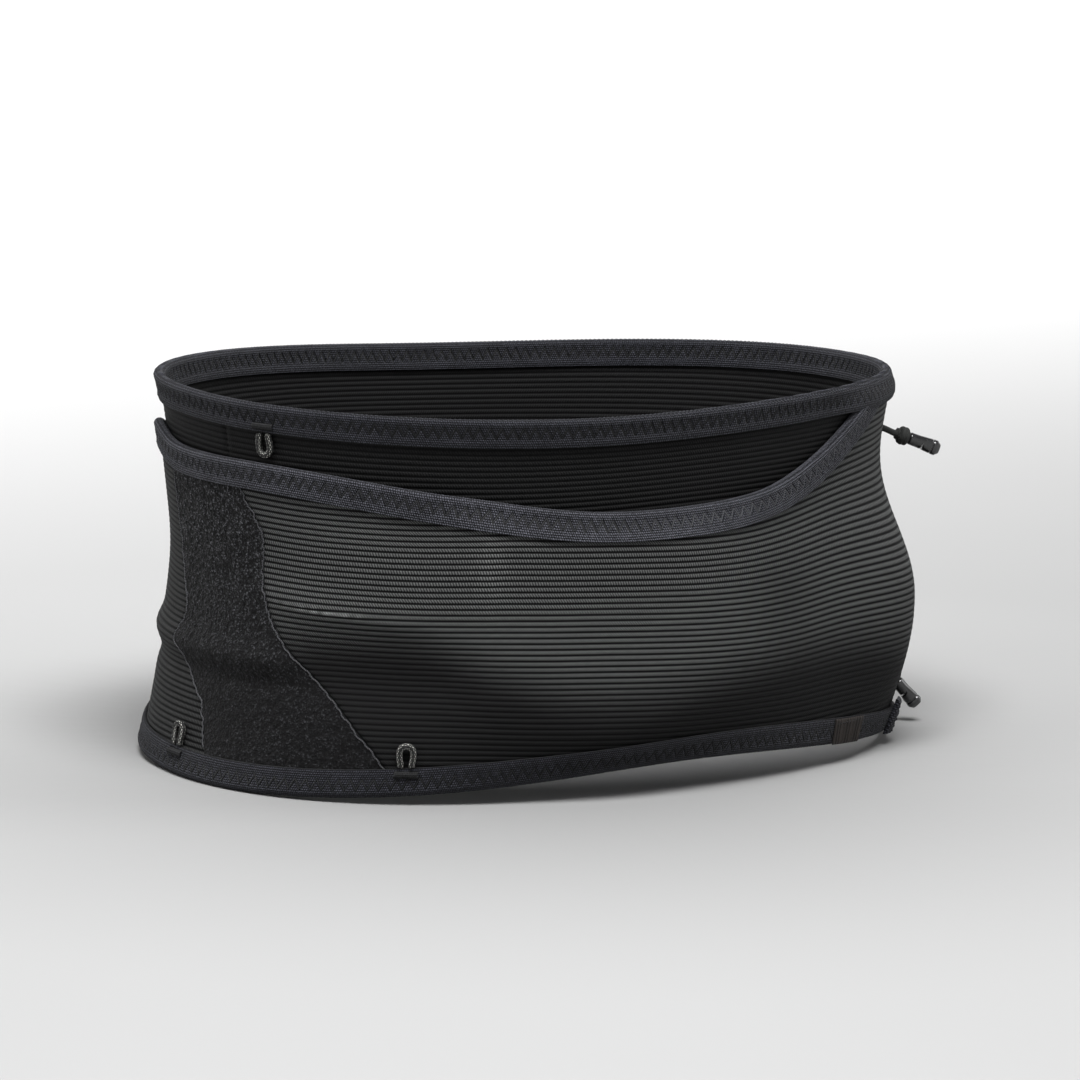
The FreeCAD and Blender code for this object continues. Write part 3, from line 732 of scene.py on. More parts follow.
@dataclass(frozen=True)
class CordFinish:
    """Round braided cord: crossing strands, with rows of pale tracer flecks where wanted."""
    name: str
    dark: tuple
    pale: tuple
    tracer: float
    strands: float = 8.0
    pitch: float = 1.5

    def make(self) -> bpy.types.Material:
        """The material; the chart gives turns round the cord and millimetres along it."""
        bench = Bench(self.name)
        around, along = bench.yarn()
        left = (around * self.strands + along / self.pitch).ridge()
        right = (around * self.strands - along / self.pitch).ridge()
        braid = left.most(right).ramp(0.35, 1.0)
        fibres = bench.noise(3000.0)
        cross = left.ramp(0.4, 0.8) * right.ramp(0.4, 0.8)
        rows = (around * self.strands * 0.5).ridge().ramp(0.35, 0.7)
        flecks = cross * rows * self.tracer
        plain = bench.mix(braid * (fibres * 0.8 + 0.4), self.dark, self.pale)
        tone = bench.node("ShaderNodeMix", {"data_type": "RGBA"},
                          {"Factor": flecks, 6: plain, 7: (0.62, 0.62, 0.58, 1.0)}, 2)
        return bench.finish({
            "Base Color": tone,
            "Roughness": 0.75 - flecks * 0.35,
            "Specular IOR Level": 0.3,
            "Normal": bench.bump(braid * 0.8 + fibres * 0.3, 0.7, 0.00025),
        })


@dataclass(frozen=True)
class RibbonFinish:
    """Woven ribbon: dark brown-grey with upright ribs."""
    rib: float = 1.6

    def make(self) -> bpy.types.Material:
        """The material; the chart gives millimetres along and up the ribbon."""
        bench = Bench("woven_ribbon")
        along, across = bench.yarn()
        rib = (along / self.rib).ridge()
        pick = (across / 0.35).ridge()
        fibres = bench.noise(2400.0)
        light = rib.ramp(0.1, 0.9) * 0.7 + pick * 0.2 + fibres * 0.3
        return bench.finish({
            "Base Color": bench.mix(light, (0.005, 0.0042, 0.0036, 1.0), (0.024, 0.0195, 0.0175, 1.0)),
            "Roughness": 0.8 - pick * 0.15,
            "Specular IOR Level": 0.2,
            "Normal": bench.bump(rib * 0.7 + pick * 0.3, 0.6, 0.00025),
        })


@dataclass(frozen=True)
class HookFinish:
    """Gloss black moulded plastic with faint flow marks and handling scuffs."""

    def make(self) -> bpy.types.Material:
        """The material, on object coordinates."""
        bench = Bench("gloss_moulded_plastic")
        cloud = bench.noise(350.0, 3.0)
        scuffs = bench.noise(2200.0, 2.0).ramp(0.58, 0.72)
        return bench.finish({
            "Base Color": bench.mix(cloud, grey(0.006), grey(0.014, 0.1)),
            "Roughness": 0.16 + scuffs * 0.12 + cloud * 0.05,
            "Specular IOR Level": 0.55,
            "Coat Weight": 0.3,
            "Coat Roughness": 0.08,
            "Normal": bench.bump(cloud * 0.5 + scuffs * 0.1, 0.12, 0.0004),
        })


@dataclass(frozen=True)
class BackdropFinish:
    """Pale matt floor whose far part glows, painted light that also lights the belt."""

    def make(self) -> bpy.types.Material:
        """The material, on object coordinates."""
        bench = Bench("pale_floor_painted_glow")
        cloud = bench.noise(2.0)
        across, ahead = (bench.axis(index) for index in (0, 1))
        away = (across * across + ahead * ahead) ** 0.5
        far = ahead.ramp(-0.1, 1.6).most(away.ramp(0.9, 2.7) * 0.5)
        return bench.finish({
            "Base Color": bench.mix(cloud, grey(0.30), grey(0.32)),
            "Roughness": 1.0,
            "Specular IOR Level": 0.0,
            # painted light: the floor glows more towards the back and the further it lies from the belt
            "Emission Color": bench.mix(far, grey(0.0), grey(0.85)),
            "Emission Strength": 1.0,
        })


@dataclass(frozen=True)
class Finishes:
    """Every material of the belt, made once."""
    mesh: bpy.types.Material = field(default_factory=lambda: RibbedMeshFinish().make())
    elastic: bpy.types.Material = field(default_factory=lambda: ElasticFinish().make())
    # painted light: the pocket mouth's binding gets a paler, lit-looking copy of the same elastic
    painted_lit_mouth_elastic: bpy.types.Material = field(default_factory=lambda: ElasticFinish(
        "painted_lit_mouth_elastic", pale=(0.135, 0.138, 0.165, 1.0)).make())
    tape: bpy.types.Material = field(default_factory=lambda: ElasticFinish(
        "tape_elastic", zigzag=False).make())
    napped: bpy.types.Material = field(default_factory=lambda: NappedFinish().make())
    seam: bpy.types.Material = field(default_factory=lambda: ThreadFinish("seam_thread", 0.075).make())
    thread: bpy.types.Material = field(default_factory=lambda: ThreadFinish("edge_thread", 0.012).make())
    pale_thread: bpy.types.Material = field(default_factory=lambda: ThreadFinish(
        "mouth_thread", 0.13, left_share=0.1).make())
    tracer: bpy.types.Material = field(default_factory=lambda: CordFinish(
        "tracer_cord", (0.002, 0.002, 0.002, 1), (0.012, 0.012, 0.012, 1), 1.0).make())
    cord: bpy.types.Material = field(default_factory=lambda: CordFinish(
        "elastic_cord", (0.003, 0.003, 0.003, 1), (0.03, 0.032, 0.03, 1), 0.0, 10.0, 1.0).make())
    ribbon: bpy.types.Material = field(default_factory=lambda: RibbonFinish().make())
    hook: bpy.types.Material = field(default_factory=lambda: HookFinish().make())


def dress(piece: bpy.types.Object, material: bpy.types.Material, body: str,
          nodes: Sequence[str] = ()) -> bpy.types.Object:
    """Give a piece its material, its body and the solids that it stands for.

    A piece given an empty body here is attached to no body.
    """
    piece.data.materials.clear()
    piece.data.materials.append(material)
    if body:
        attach(piece, body)
    if nodes:
        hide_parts(*nodes)
    log.info("%s: %d faces", piece.name, len(piece.data.polygons))
    return piece


# ---------------------------------------------------------------- ribbed mesh panels

RIB_PROFILE = ((0.0, -0.26), (0.15, 0.05), (0.38, 0.11), (0.62, 0.11), (0.85, 0.05))


@dataclass
class MeshPanel:
    """Panel of ribbed mesh whose rows follow the ribs.

    A rib that runs out past an edge is squeezed flat along it, under the binding.
    """
    name: str
    node: str
    left: Callable[[Array], Array]
    right: float
    low: Callable[[Array], Array]
    high: Callable[[Array], Array]
    offset: Place
    levels: tuple[float, float]
    columns: int
    thickness: float = 1.0
    pitch: float = 2.08
    lift: Place = staticmethod(lambda angle, level: 0 * angle)
    profile: Sequence[tuple[float, float]] = RIB_PROFILE
    stretch: float = 1.08
    # How pale the stitches are drawn: fixed on the front pocket, low on the inner band as partly painted
    # shade, painted light and painted shade on the back pocket
    paleness_and_painted_light: Place = staticmethod(lambda angle, level: 0.10 + 0 * angle)

    def rows(self) -> tuple[Array, Array]:
        """Rib number and rib relief of each row."""
        count = int(math.ceil((self.levels[1] - self.levels[0]) / self.pitch))
        steps, reliefs = np.array(self.profile).T
        rib = (np.arange(count)[:, None] + steps).ravel()
        return rib, np.tile(reliefs, count)

    def build(self, finishes: Finishes) -> bpy.types.Object:
        """Make the panel.

        Height is the rib's level plus its lift, held between the panel's low and high edges; a
        hundredth of the excess is kept, so that squeezed rows stay in order. Both faces stand
        off the cloth's middle by half its thickness plus the rib's relief, along the normal.
        """
        rib, relief = self.rows()
        level = (self.levels[0] + rib * self.pitch)[:, None]
        part = np.linspace(0, 1, self.columns)
        height = level + 0 * part
        for _ in range(4):
            start = self.left(height[:, :1])
            angle = start + (self.right - start) * part
            wanted = level + self.lift(angle, level)
            low, high = self.low(angle), self.high(angle)
            height = np.clip(wanted, low, high)
        height = height + 0.01 * (wanted - height)
        loose = np.clip((wanted - low) / 1.5, 0, 1) * np.clip((high - wanted) / 1.5, 0, 1)
        middle = FORM.point(angle, height, self.offset(angle, height) + FORM.mesh / 2)
        normal = FORM.normal(angle, height, self.offset)
        bulge = (self.thickness / 2 + relief[:, None] * loose)[..., None] * normal
        steps = np.linalg.norm(np.diff(middle, axis=1), axis=-1)
        along = np.concatenate([np.zeros((len(rib), 1)), np.cumsum(steps, axis=1)], axis=1)
        along = np.concatenate([along, along[:, -1:]], axis=1)
        chart = np.stack(np.broadcast_arrays(along, rib[:, None]), axis=-1)
        piece = two_sided(self.name, middle + bulge, middle - bulge, chart, chart)
        self.mark_paleness_and_painted_light(piece)
        dress(piece, finishes.mesh, "belt", [self.node])
        width = FORM.ring_length(float(np.mean(start)), self.right) / self.stretch
        tall = float(np.mean(high - low)) / self.stretch
        width * MM
        tall * MM
        return piece

    def mark_paleness_and_painted_light(self, piece: bpy.types.Object) -> None:
        """Store at each point how pale the mesh's stitches are, from 0 to above 1: painted light and
        painted shade on the back pocket.
        """
        places = np.empty(len(piece.data.vertices) * 3, np.float32)
        piece.data.vertices.foreach_get("co", places)
        across, ahead, height = places.reshape(-1, 3).T / MM
        share = self.paleness_and_painted_light(np.degrees(np.arctan2(across, -ahead)), height)
        marks = piece.data.attributes.new("paleness_and_painted_light", "FLOAT", "POINT")
        marks.data.foreach_set("value", share.astype(np.float32))


def fixed(value: float) -> Callable[..., Array]:
    """Function that gives the same value everywhere."""
    return lambda *place: value + 0 * np.asarray(place[0], dtype=float)


def hem_low(angle: Array) -> Array:
    """Lowest place of a panel inside the bottom binding."""
    return FORM.bottom(angle) + FORM.binding_wall + FORM.gap


def under_binding(angle: Array) -> Array:
    """Highest place of a pocket: inside the mouth binding, or below the top binding."""
    return np.minimum(FORM.mouth(angle) - FORM.binding_wall - 2 * FORM.gap, FORM.under_top(angle))


# Angle in degrees and how far the back pocket's upper and lower ribs climb, in millimetres
UPPER_CLIMB = ((-80, 1.6), (-66, 0.2), (-52, 0), (-34, 0.8), (-15, -0.4), (3, -1.9), (15, -1.6),
               (24, 0.4), (33, 3.0), (42, 5.5), (52, 7.0), (64, 8.0), (80, 8.5))
LOWER_CLIMB = ((-80, -0.8), (-60, 0.8), (-40, 1.2), (-18, 0), (5, -2.2), (28, -4.2), (50, -3.6),
               (80, -3.0))

# Angle in degrees and height in millimetres of the border between pale mesh above, painted light, and dark
# mesh below, painted shade
PAINTED_LIGHT_BORDER = ((-80, -17), (-60, -13), (-50, -12), (-43, -17), (-35, -24), (-26, -31), (-17, -34),
               (-6, -34), (4, -31), (16, -28), (28, -25), (44, -26), (60, -34), (80, -40))


def pocket_lift(angle: Array, level: Array) -> Array:
    """How far a rib of the back pocket leaves its own level as it runs round.

    The upper ribs climb towards the right hip and the lower ones sink, as the hip spreads them.
    """
    upper = through(angle, UPPER_CLIMB, 4.0)
    lower = through(angle, LOWER_CLIMB, 4.0)
    share = np.clip((level + 55) / 80, 0, 1.25)
    return lower + (upper - lower) * share ** 1.5


def pocket_painted_light(angle: Array, height: Array) -> Array:
    """Painted light and painted shade on the back pocket: how pale its stitches are drawn.

    They are pale above a border that dips in the middle and dark below it, painted light above and
    painted shade below; a little paler along an upright ridge as painted light, darker in a hollow as
    painted shade, and brightest along a short crease by the side panel as a painted highlight.
    """
    # painted light and shade: lit above the border, shaded below it, a lit ridge, a shaded hollow and a
    # glint highlight
    border = through(angle, PAINTED_LIGHT_BORDER, 3.0)
    above = rise_between(height, border - 14.0, border + 12.0)
    ridge = 0.45 * bell(angle, -37.0, 2.5) * bell(height, 13.0, 12.0)
    hollow = 0.35 * bell(angle, 24.0, 9.0) * bell(height, -2.0, 16.0)
    crease = -4.0 - 0.16 * (angle + 74.0)
    glint = 4.0 * bell(height, crease, 0.9) * bell(angle, -64.0, 6.5) * (0.55 + 0.45 * np.sin(angle * 2.6))
    return np.clip(0.09 + above * (0.98 + ridge - hollow) + glint, 0.06, 4.0)


def make_mesh_panels(finishes: Finishes) -> None:
    """Inner band in two halves, and the two pockets."""
    split = -81.5
    margin = 0.12
    butt = -0.04

    def band_high(angle: Array) -> Array:
        """Highest place of the inner band inside the top binding."""
        return FORM.top(angle) - FORM.binding_wall - FORM.gap

    def band_lift(angle: Array, level: Array) -> Array:
        """The band's ribs run level with its nearer edge."""
        share = (level + 66) / 132
        return (FORM.top(angle) - 68.25) * share + (FORM.bottom(angle) + 68.25) * (1 - share)

    band = dict(low=hem_low, high=band_high, offset=fixed(0.0), levels=(-72.0, 70.0), columns=150,
                lift=band_lift, profile=((0.0, -0.30), (0.2, 0.06), (0.5, 0.16), (0.8, 0.06)))
    MeshPanel("inner_band_back_mesh", "inner_band_back", fixed(split + butt), FORM.seam - butt,
              **band).build(finishes)
    MeshPanel("inner_band_front_mesh", "inner_band_front", fixed(FORM.seam - 360 + butt), split - butt,
              **band).build(finishes)

    MeshPanel("back_pocket_mesh", "back_pocket", lambda height: FORM.rear_edge(height) + margin,
              FORM.seam - margin, hem_low, under_binding, FORM.layer, (-76.0, 52.0), 152,
              lift=pocket_lift, paleness_and_painted_light=pocket_painted_light).build(finishes)
    front = MeshPanel("front_pocket_mesh", "front_pocket", lambda height: FORM.front_edge(height) - margin,
                      FORM.seam - 360 + margin, hem_low, under_binding, FORM.layer, (-76.0, 52.0), 150,
                      lift=front_lift, paleness_and_painted_light=fixed(0.45))
    front.build(finishes).data.flip_normals()


def front_lift(angle: Array, level: Array) -> Array:
    """The front pocket's upper ribs follow a quarter of the mouth's rise and fall."""
    return 0.25 * (FORM.mouth(angle) - 40) * np.clip((level + 60) / 90, 0, 1)


# ---------------------------------------------------------------- fold-over bindings

BINDING_COLUMNS = 1450

# Depths of the profile's points below the folded edge, from the lip up to the fold
DEPTHS = np.array([10.5, 10.3, 9.7, 8.9, 8.1, 7.4, 6.7, 6.1, 5.4, 4.7, 4.0, 3.3, 2.6, 1.7, 0.9, 0.35, 0.06])


def zigzag_depth(along: Array) -> Array:
    """Depth of the zigzag stitch line: a triangle wave between its two depths."""
    part = np.abs((along / ZIGZAG_PITCH) % 1.0 * 2 - 1)
    return ZIGZAG[0] + (ZIGZAG[1] - ZIGZAG[0]) * part


@dataclass
class Binding:
    """Folded elastic over a cloth edge, with its zigzag stitching."""
    name: str
    node: str
    start: float
    end: float
    edge: Callable[[Array, Number], tuple[Array, Array]]
    outer: Place
    inner: Place
    columns: int
    joined: bool
    thread: str
    elastic: str = "elastic"
    crowns: Callable[[Array], Array] = fixed(0.3)
    lip: Callable[[Array], Array] = fixed(0.0)
    puff: float = 0.35
    seed: int = 11

    def angles(self) -> tuple[Array, Array]:
        """Angles evenly spaced by length along the edge, and the lengths themselves."""
        fine = np.linspace(self.start, self.end, 4000)
        angle, height = self.edge(fine, 5.0 + 0 * fine)
        length = arc_lengths(FORM.point(angle, height, 3.0))
        wanted = np.linspace(0, length[-1], self.columns + 1)
        if not self.joined:
            wanted = wanted[:self.columns]
        return np.interp(wanted, length, fine), wanted

    def relief(self, depth: Array, along: Array) -> Array:
        """Height of the knitted face over its flat wall.

        It swells at the fold and at the lip, sinks where the zigzag draws it in, and dips
        along the stitch line itself; small bumps follow the lip's stitches and the knit.
        """
        swell = self.puff * (bell(depth, 1.8, 1.5) + 0.6 * bell(depth, 8.8, 0.9))
        distance = np.abs(depth - zigzag_depth(along)) * 0.5
        stitched = rise_between(depth, 1.6, 2.8) * (1 - rise_between(depth, 7.4, 8.2))
        groove = 0.60 * bell(distance, 0.0, 0.40) * stitched
        tufts = 0.22 * bell(depth, 5.0, 1.6)
        stitches = 0.10 * np.cos(2 * np.pi * along / 2.1) * bell(depth, 8.9, 0.6)
        knit = 0.10 * mottle(along / 0.7, depth / 0.7, self.seed)
        slack = 0.16 * mottle(along / 14.0, depth / 30.0, self.seed + 1)
        return swell + tufts - groove + stitches + knit + slack

    def face(self, angle: Array, along: Array, depth: Array, side: Array, share: Number) -> Array:
        """Points of the elastic's face.

        Near the fold the stand-off follows a half circle between the two walls.

        Args:
            angle, along: place of each column.
            depth: depth of each row, rows by 1.
            side: 1 on the outer wall and -1 on the inner, rows by 1.
            share: 1 for the outside face, 0 for the slot inside it.
        """
        crown = self.crowns(angle) * np.cos(2 * np.pi * along / 1.8) * bell(depth, 0.3, 1.3) * share
        turn, height = self.edge(angle, depth - crown)
        outer, inner = self.outer(turn, height), self.inner(turn, height)
        wall = FORM.binding_wall * share
        half = (outer - inner) / 2 + wall
        fold = np.sqrt(np.clip(1 - (1 - np.minimum(depth / half, 1)) ** 2, 0, 1)) if share else 1.0
        bulge = self.relief(depth, along) * share + self.lip(angle) * ease(depth / 8) * (side > 0)
        return FORM.point(turn, height, (outer + inner) / 2 + side * fold * (half + bulge))

    def build(self, finishes: Finishes) -> None:
        """Make the elastic and its zigzag thread."""
        angle, length = self.angles()
        columns = angle[:-1] if self.joined else angle
        along = length[:len(columns)]
        depth = np.concatenate([DEPTHS, DEPTHS[::-1]])[:, None]
        side = np.concatenate([np.ones(len(DEPTHS)), -np.ones(len(DEPTHS))])[:, None]
        front = self.face(columns, along, depth, side, 1.0)
        slot = self.face(columns, along, np.maximum(depth, 1.8), side * 0.9, 0.0)
        across = np.cumsum(np.abs(np.diff(depth[:, 0], prepend=depth[0, 0])))[:, None]
        edge = np.append(along, length[-1] if self.joined else along[-1])
        chart = np.stack(np.broadcast_arrays(edge, across), axis=-1)
        piece = two_sided(self.name, front, slot, chart, chart, self.joined)
        dress(piece, getattr(finishes, self.elastic), "belt", [self.node])
        self.stitch(finishes)

    def stitch(self, finishes: Finishes) -> None:
        """Zigzag thread on both walls, one strand each, sunk into its own groove."""
        steps = 6
        fine = np.linspace(self.start, self.end, 4000)
        angle, height = self.edge(fine, 5.0 + 0 * fine)
        length = arc_lengths(FORM.point(angle, height, 3.0))
        count = int(length[-1] / ZIGZAG_PITCH * 2 * steps)
        along = np.arange(count) * ZIGZAG_PITCH / 2 / steps + 0.01
        columns = np.interp(along, length, fine)
        depth = zigzag_depth(along)
        strands = []
        for side in (1.0, -1.0):
            turn, level = self.edge(columns, depth)
            outer, inner = self.outer(turn, level), self.inner(turn, level)
            lift = self.relief(depth, along) + 0.36 + self.lip(columns) * ease(depth / 8) * (side > 0)
            middle, half = (outer + inner) / 2, (outer - inner) / 2 + FORM.binding_wall
            path = FORM.point(turn, level, middle + side * (half + lift))
            away = side * np.stack([np.sin(np.radians(turn)), -np.cos(np.radians(turn)), 0 * turn], axis=-1)
            strands.append(tube(self.name + "_zigzag", path, away, 0.17, 5))
        piece = merged(self.node + "_zigzag", strands)
        dress(piece, getattr(finishes, self.thread), "belt")


def under_top_edge(angle: Array, height: Array) -> Array:
    """Heights held below the top binding's lower lip."""
    return np.minimum(height, FORM.under_top(angle) + 2.0)


def make_bindings(finishes: Finishes) -> None:
    """Elastic bindings of the top edge, the bottom edge and the pocket mouths."""
    def top_edge(angle: Array, depth: Number) -> tuple[Array, Array]:
        """Place a depth below the top edge."""
        height = FORM.top(angle) - depth
        return angle + 0 * height, height

    def bottom_edge(angle: Array, depth: Number) -> tuple[Array, Array]:
        """Place a depth above the bottom edge."""
        height = FORM.bottom(angle) + depth
        return angle + 0 * height, height

    def mouth_edge(angle: Array, depth: Number) -> tuple[Array, Array]:
        """Place a depth below the mouth's edge, held below the top binding."""
        turn, height = FORM.mouth_place(angle, depth)
        return turn, under_top_edge(turn, height)

    def layer_inside(angle: Array, height: Array) -> Array:
        """Slot's inner side on the pocket layer."""
        return FORM.layer(angle, height) - FORM.gap

    def layer_outside(angle: Array, height: Array) -> Array:
        """Slot's outer side on the pocket layer."""
        return FORM.layer(angle, height) + FORM.gap + FORM.napped

    def seam_lip(angle: Array) -> Array:
        """The top binding covers the ends of the mouth bindings by the right seam."""
        near = np.abs((angle - FORM.seam + 180) % 360 - 180)
        return 3.4 * (1 - rise_between(near, 24.0, 38.0))

    def top_crowns(angle: Array) -> Array:
        """The edge is more scalloped over the right of the back."""
        return 0.12 + 0.2 * bell(angle, 35.0, 45.0)

    skin = fixed(-FORM.gap)
    band = fixed(FORM.mesh + FORM.gap)
    Binding("top_binding_elastic", "top_binding", -180, 180, top_edge, band, skin, BINDING_COLUMNS, True,
            "thread", "elastic", top_crowns, seam_lip, 0.45, 11).build(finishes)
    Binding("bottom_binding_elastic", "bottom_binding", -180, 180, bottom_edge, layer_outside, skin,
            BINDING_COLUMNS, True, "thread", crowns=fixed(0.06), seed=23).build(finishes)
    # its elastic is the paler copy, painted light
    Binding("mouth_binding_elastic", "pocket_mouth_binding", -251, 53, mouth_edge, layer_outside,
            layer_inside, BINDING_COLUMNS, False, "pale_thread", "painted_lit_mouth_elastic", fixed(0.05),
            puff=0.3, seed=37).build(finishes)


# ---------------------------------------------------------------- side panel, tapes and trim

@dataclass(frozen=True)
class SidePanel:
    """Napped loop-knit panel between the two pockets, and its two seams."""
    rows: int = 210
    columns: int = 150
    thickness: float = 1.2

    def build(self, finishes: Finishes) -> None:
        """Make the panel: its face is thrown up in soft tufts and slanting streaks."""
        share = np.linspace(0, 1, self.rows)[:, None]
        part = np.linspace(0, 1, self.columns)
        low, high = hem_low(-80.0), under_binding(np.array(-80.0))
        height = low + (high - low) * share
        left, right = FORM.front_edge(height), FORM.rear_edge(height)
        angle = left + (right - left) * part
        height = np.clip(height + 0 * part, hem_low(angle), under_binding(angle))
        middle = FORM.point(angle, height, FORM.layer(angle, height) + FORM.napped / 2)
        normal = FORM.normal(angle, height, FORM.layer)
        along = np.radians(angle) * 132.0
        tufts = mottle(along / 1.1, height / 0.9, 5) * 0.22 + mottle(along / 0.55, height / 0.5, 6) * 0.10
        upper = rise_between(height, -20.0, 10.0)
        streaks = mottle((along * 0.75 + height) / 1.5, (along - height * 0.75) / 9.0, 7) * 0.3 * upper
        dimples = -0.25 * bell(mottle(along / 2.6, height / 2.2, 8), 0.8, 0.3)
        border = np.minimum(1.0, np.minimum(part, 1 - part) * 18)
        bulge = (self.thickness / 2 + (tufts + streaks + dimples) * border)[..., None] * normal
        flat = self.thickness / 2 * normal
        chart = np.stack(np.broadcast_arrays(np.concatenate([along, along[:, -1:]], axis=1),
                                             np.concatenate([height, height[:, -1:]], axis=1)), axis=-1)
        piece = two_sided("left_side_panel_knit", middle + bulge, middle - flat, chart, chart)
        dress(piece, finishes.napped, "belt", ["left_side_panel"])
        self.seam("panel_rear_seam", FORM.rear_edge, 3, finishes)
        self.seam("panel_front_seam", FORM.front_edge, 4, finishes)

    def seam(self, node: str, edge: Callable[[Array], Array], seed: int, finishes: Finishes) -> None:
        """Thin raised overlock seam that wanders a little, in small steps, along the panel's edge."""
        height = np.linspace(-62.0, 41.0, 420)
        wander = 0.26 * mottle(height / 3.1, 0 * height, seed) + 0.09 * np.sign(np.sin(height * 1.9))
        angle = edge(height) + wander
        path = FORM.point(angle, height, FORM.layer(angle, height) + FORM.napped + 0.1)
        normal = FORM.normal(angle, height, FORM.layer)
        around = np.linspace(0, 2 * np.pi, 8, endpoint=False)[:, None]
        radius = 0.22 + 0.07 * np.cos(around + height / 0.9 * 2 * np.pi)
        piece = tube(node + "_overlock", path, normal, radius, 8)
        dress(piece, finishes.seam, "belt", [node])


@dataclass(frozen=True)
class Patch:
    """Small flat piece on the cloth between two angles: tape, label or overlapped end."""
    name: str
    node: str
    slot: str
    middle: float
    width: float
    low: Callable[[Array], Array]
    high: Callable[[Array], Array]
    base: Place
    thickness: float
    rows: int
    columns: int
    relief: Callable[[Array, Array], Array]

    def build(self, material: bpy.types.Material) -> bpy.types.Object:
        """Make the patch; relief(across, up) is in shares of the patch and gives millimetres."""
        half = math.degrees(self.width / 2 / FORM.half_width)
        up = np.linspace(0, 1, self.rows)[:, None]
        across = np.linspace(0, 1, self.columns)
        angle = self.middle - half + 2 * half * across + 0 * up
        height = self.low(angle) + (self.high(angle) - self.low(angle)) * up
        normal = FORM.normal(angle, height, self.base)
        back = FORM.point(angle, height, self.base(angle, height))
        rim = np.minimum(1, np.minimum(np.minimum(across, 1 - across) * self.columns / 4,
                                       np.minimum(up, 1 - up) * self.rows / 4))
        bulge = self.thickness * (0.4 + 0.6 * np.sqrt(rim)) + self.relief(across, up) * rim
        along = np.append(across, 1.0) * self.width
        tall = float(np.mean(self.high(angle) - self.low(angle)))
        chart = np.stack(np.broadcast_arrays(along, up * tall), axis=-1)
        piece = two_sided(self.name, back + bulge[..., None] * normal, back, chart, chart)
        return dress(piece, material, "belt", [self.node])


def on_binding(angle: Array, height: Array) -> Array:
    """Standing-off of a piece that lies on the bottom binding's outer wall."""
    return FORM.layer(angle, height) + FORM.napped + 2 * FORM.gap + FORM.binding_wall


def on_pocket(angle: Array, height: Array) -> Array:
    """Standing-off of a tape that lies on the pocket layer."""
    return FORM.layer(angle, height) + FORM.napped + FORM.gap


def stitch_row(name: str, base: Place, ends: Sequence[tuple[float, float, float, float]], radius: float,
               lift: float) -> bpy.types.Object:
    """Short thread stitches, each from one angle and height to another, arched over the cloth."""
    strands = []
    part = np.linspace(0, 1, 7)
    for start, low, end, high in ends:
        angle = start + (end - start) * part
        height = low + (high - low) * part
        arch = lift * np.sin(np.pi * part) ** 0.6 - radius
        path = FORM.point(angle, height, base(angle, height) + arch)
        strands.append(tube(name, path, FORM.normal(angle, height, base), radius, 6))
    return merged(name, strands)


def make_trim(finishes: Finishes) -> None:
    """Right seam tape, blank label, overlapped end of the bottom binding, and bar tacks."""
    def upright_ribs(across: Array, up: Array) -> Array:
        """Lengthwise ribs of the seam tape."""
        return 0.12 * np.cos(2 * np.pi * across * 5) + 0.05 * mottle(across * 8, up * 130, 41)

    def ribbon_ribs(across: Array, up: Array) -> Array:
        """Nine upright ribs of the label."""
        return 0.18 * np.cos(2 * np.pi * across * 9) + 0 * up

    def lumps(across: Array, up: Array) -> Array:
        """Rough knit of the overlapped end."""
        return (0.35 * mottle(across * 9, up * 14, 43) + 0.5 * np.sin(np.pi * across) * np.sin(np.pi * up)
                - 0.35 * bell(up, 0.33, 0.05) - 0.3 * bell(up, 0.72, 0.05))

    Patch("right_seam_tape_elastic", "right_seam_tape", "elastic_binding", FORM.seam, 6.0, FORM.over_bottom,
          FORM.under_top, on_pocket, FORM.tape, 260, 26, upright_ribs).build(finishes.tape)
    Patch("blank_label", "label_tab", "ribbon", 43.0, 19.0, lambda angle: FORM.bottom(angle) + 0.2,
          lambda angle: FORM.bottom(angle) + 10.3 + 0.02 * (angle - 43.0), on_binding, 0.6, 24, 110,
          ribbon_ribs).build(finishes.ribbon)
    Patch("binding_overlap_elastic", "binding_overlap", "elastic_binding", 60.0, 9.0, FORM.bottom,
          lambda angle: FORM.bottom(angle) + 14.0, on_binding, 1.8, 60, 44, lumps).build(finishes.tape)

    level = float(FORM.bottom(43.0)) + 8.9
    dots = [(39.6 + index * 0.78, level, 39.95 + index * 0.78, level + 0.05) for index in range(9)]
    piece = stitch_row("label_stitches", lambda angle, height: on_binding(angle, height) + 0.6,
                       dots, 0.22, 0.3)
    dress(piece, finishes.thread, "belt")

    def top(angle: Array, height: Array) -> Array:
        """Face of the top binding."""
        return 0 * angle + FORM.mesh + 2 * FORM.gap + FORM.binding_wall + 0.3

    def hem(angle: Array, height: Array) -> Array:
        """Face of the bottom binding."""
        return on_binding(angle, height) + 0.2

    def tape(angle: Array, height: Array) -> Array:
        """Face of the right seam tape."""
        return on_pocket(angle, height) + FORM.tape + 0.1

    spots = [(-73.5, float(FORM.under_top(-73.5)) + 2.5, top),
             (-49.5, float(FORM.over_bottom(-49.5)) - 2.5, hem),
             (-89.0, float(FORM.over_bottom(-89.0)) - 2.5, hem)]
    tacks = []
    for middle, height, base in spots:
        half = math.degrees(4.0 / FORM.half_width)
        places = np.linspace(middle - half, middle + half, 14)
        ends = [(place, height - 1.2, place + 0.12, height + 1.2) for place in places]
        tacks.append(stitch_row("tack", base, ends, 0.3, 0.75))
    for height in (49.0, -43.6):
        ends = [(FORM.seam - 0.5, height + step, FORM.seam + 0.5, height + step + 0.1)
                for step in np.linspace(-1.2, 1.2, 5)]
        tacks.append(stitch_row("tack", tape, ends, 0.3, 0.75))
    dress(merged("bar_tack_threads", tacks), finishes.thread, "belt", ["bar_tacks"])


# ---------------------------------------------------------------- cord loops and toggle hooks

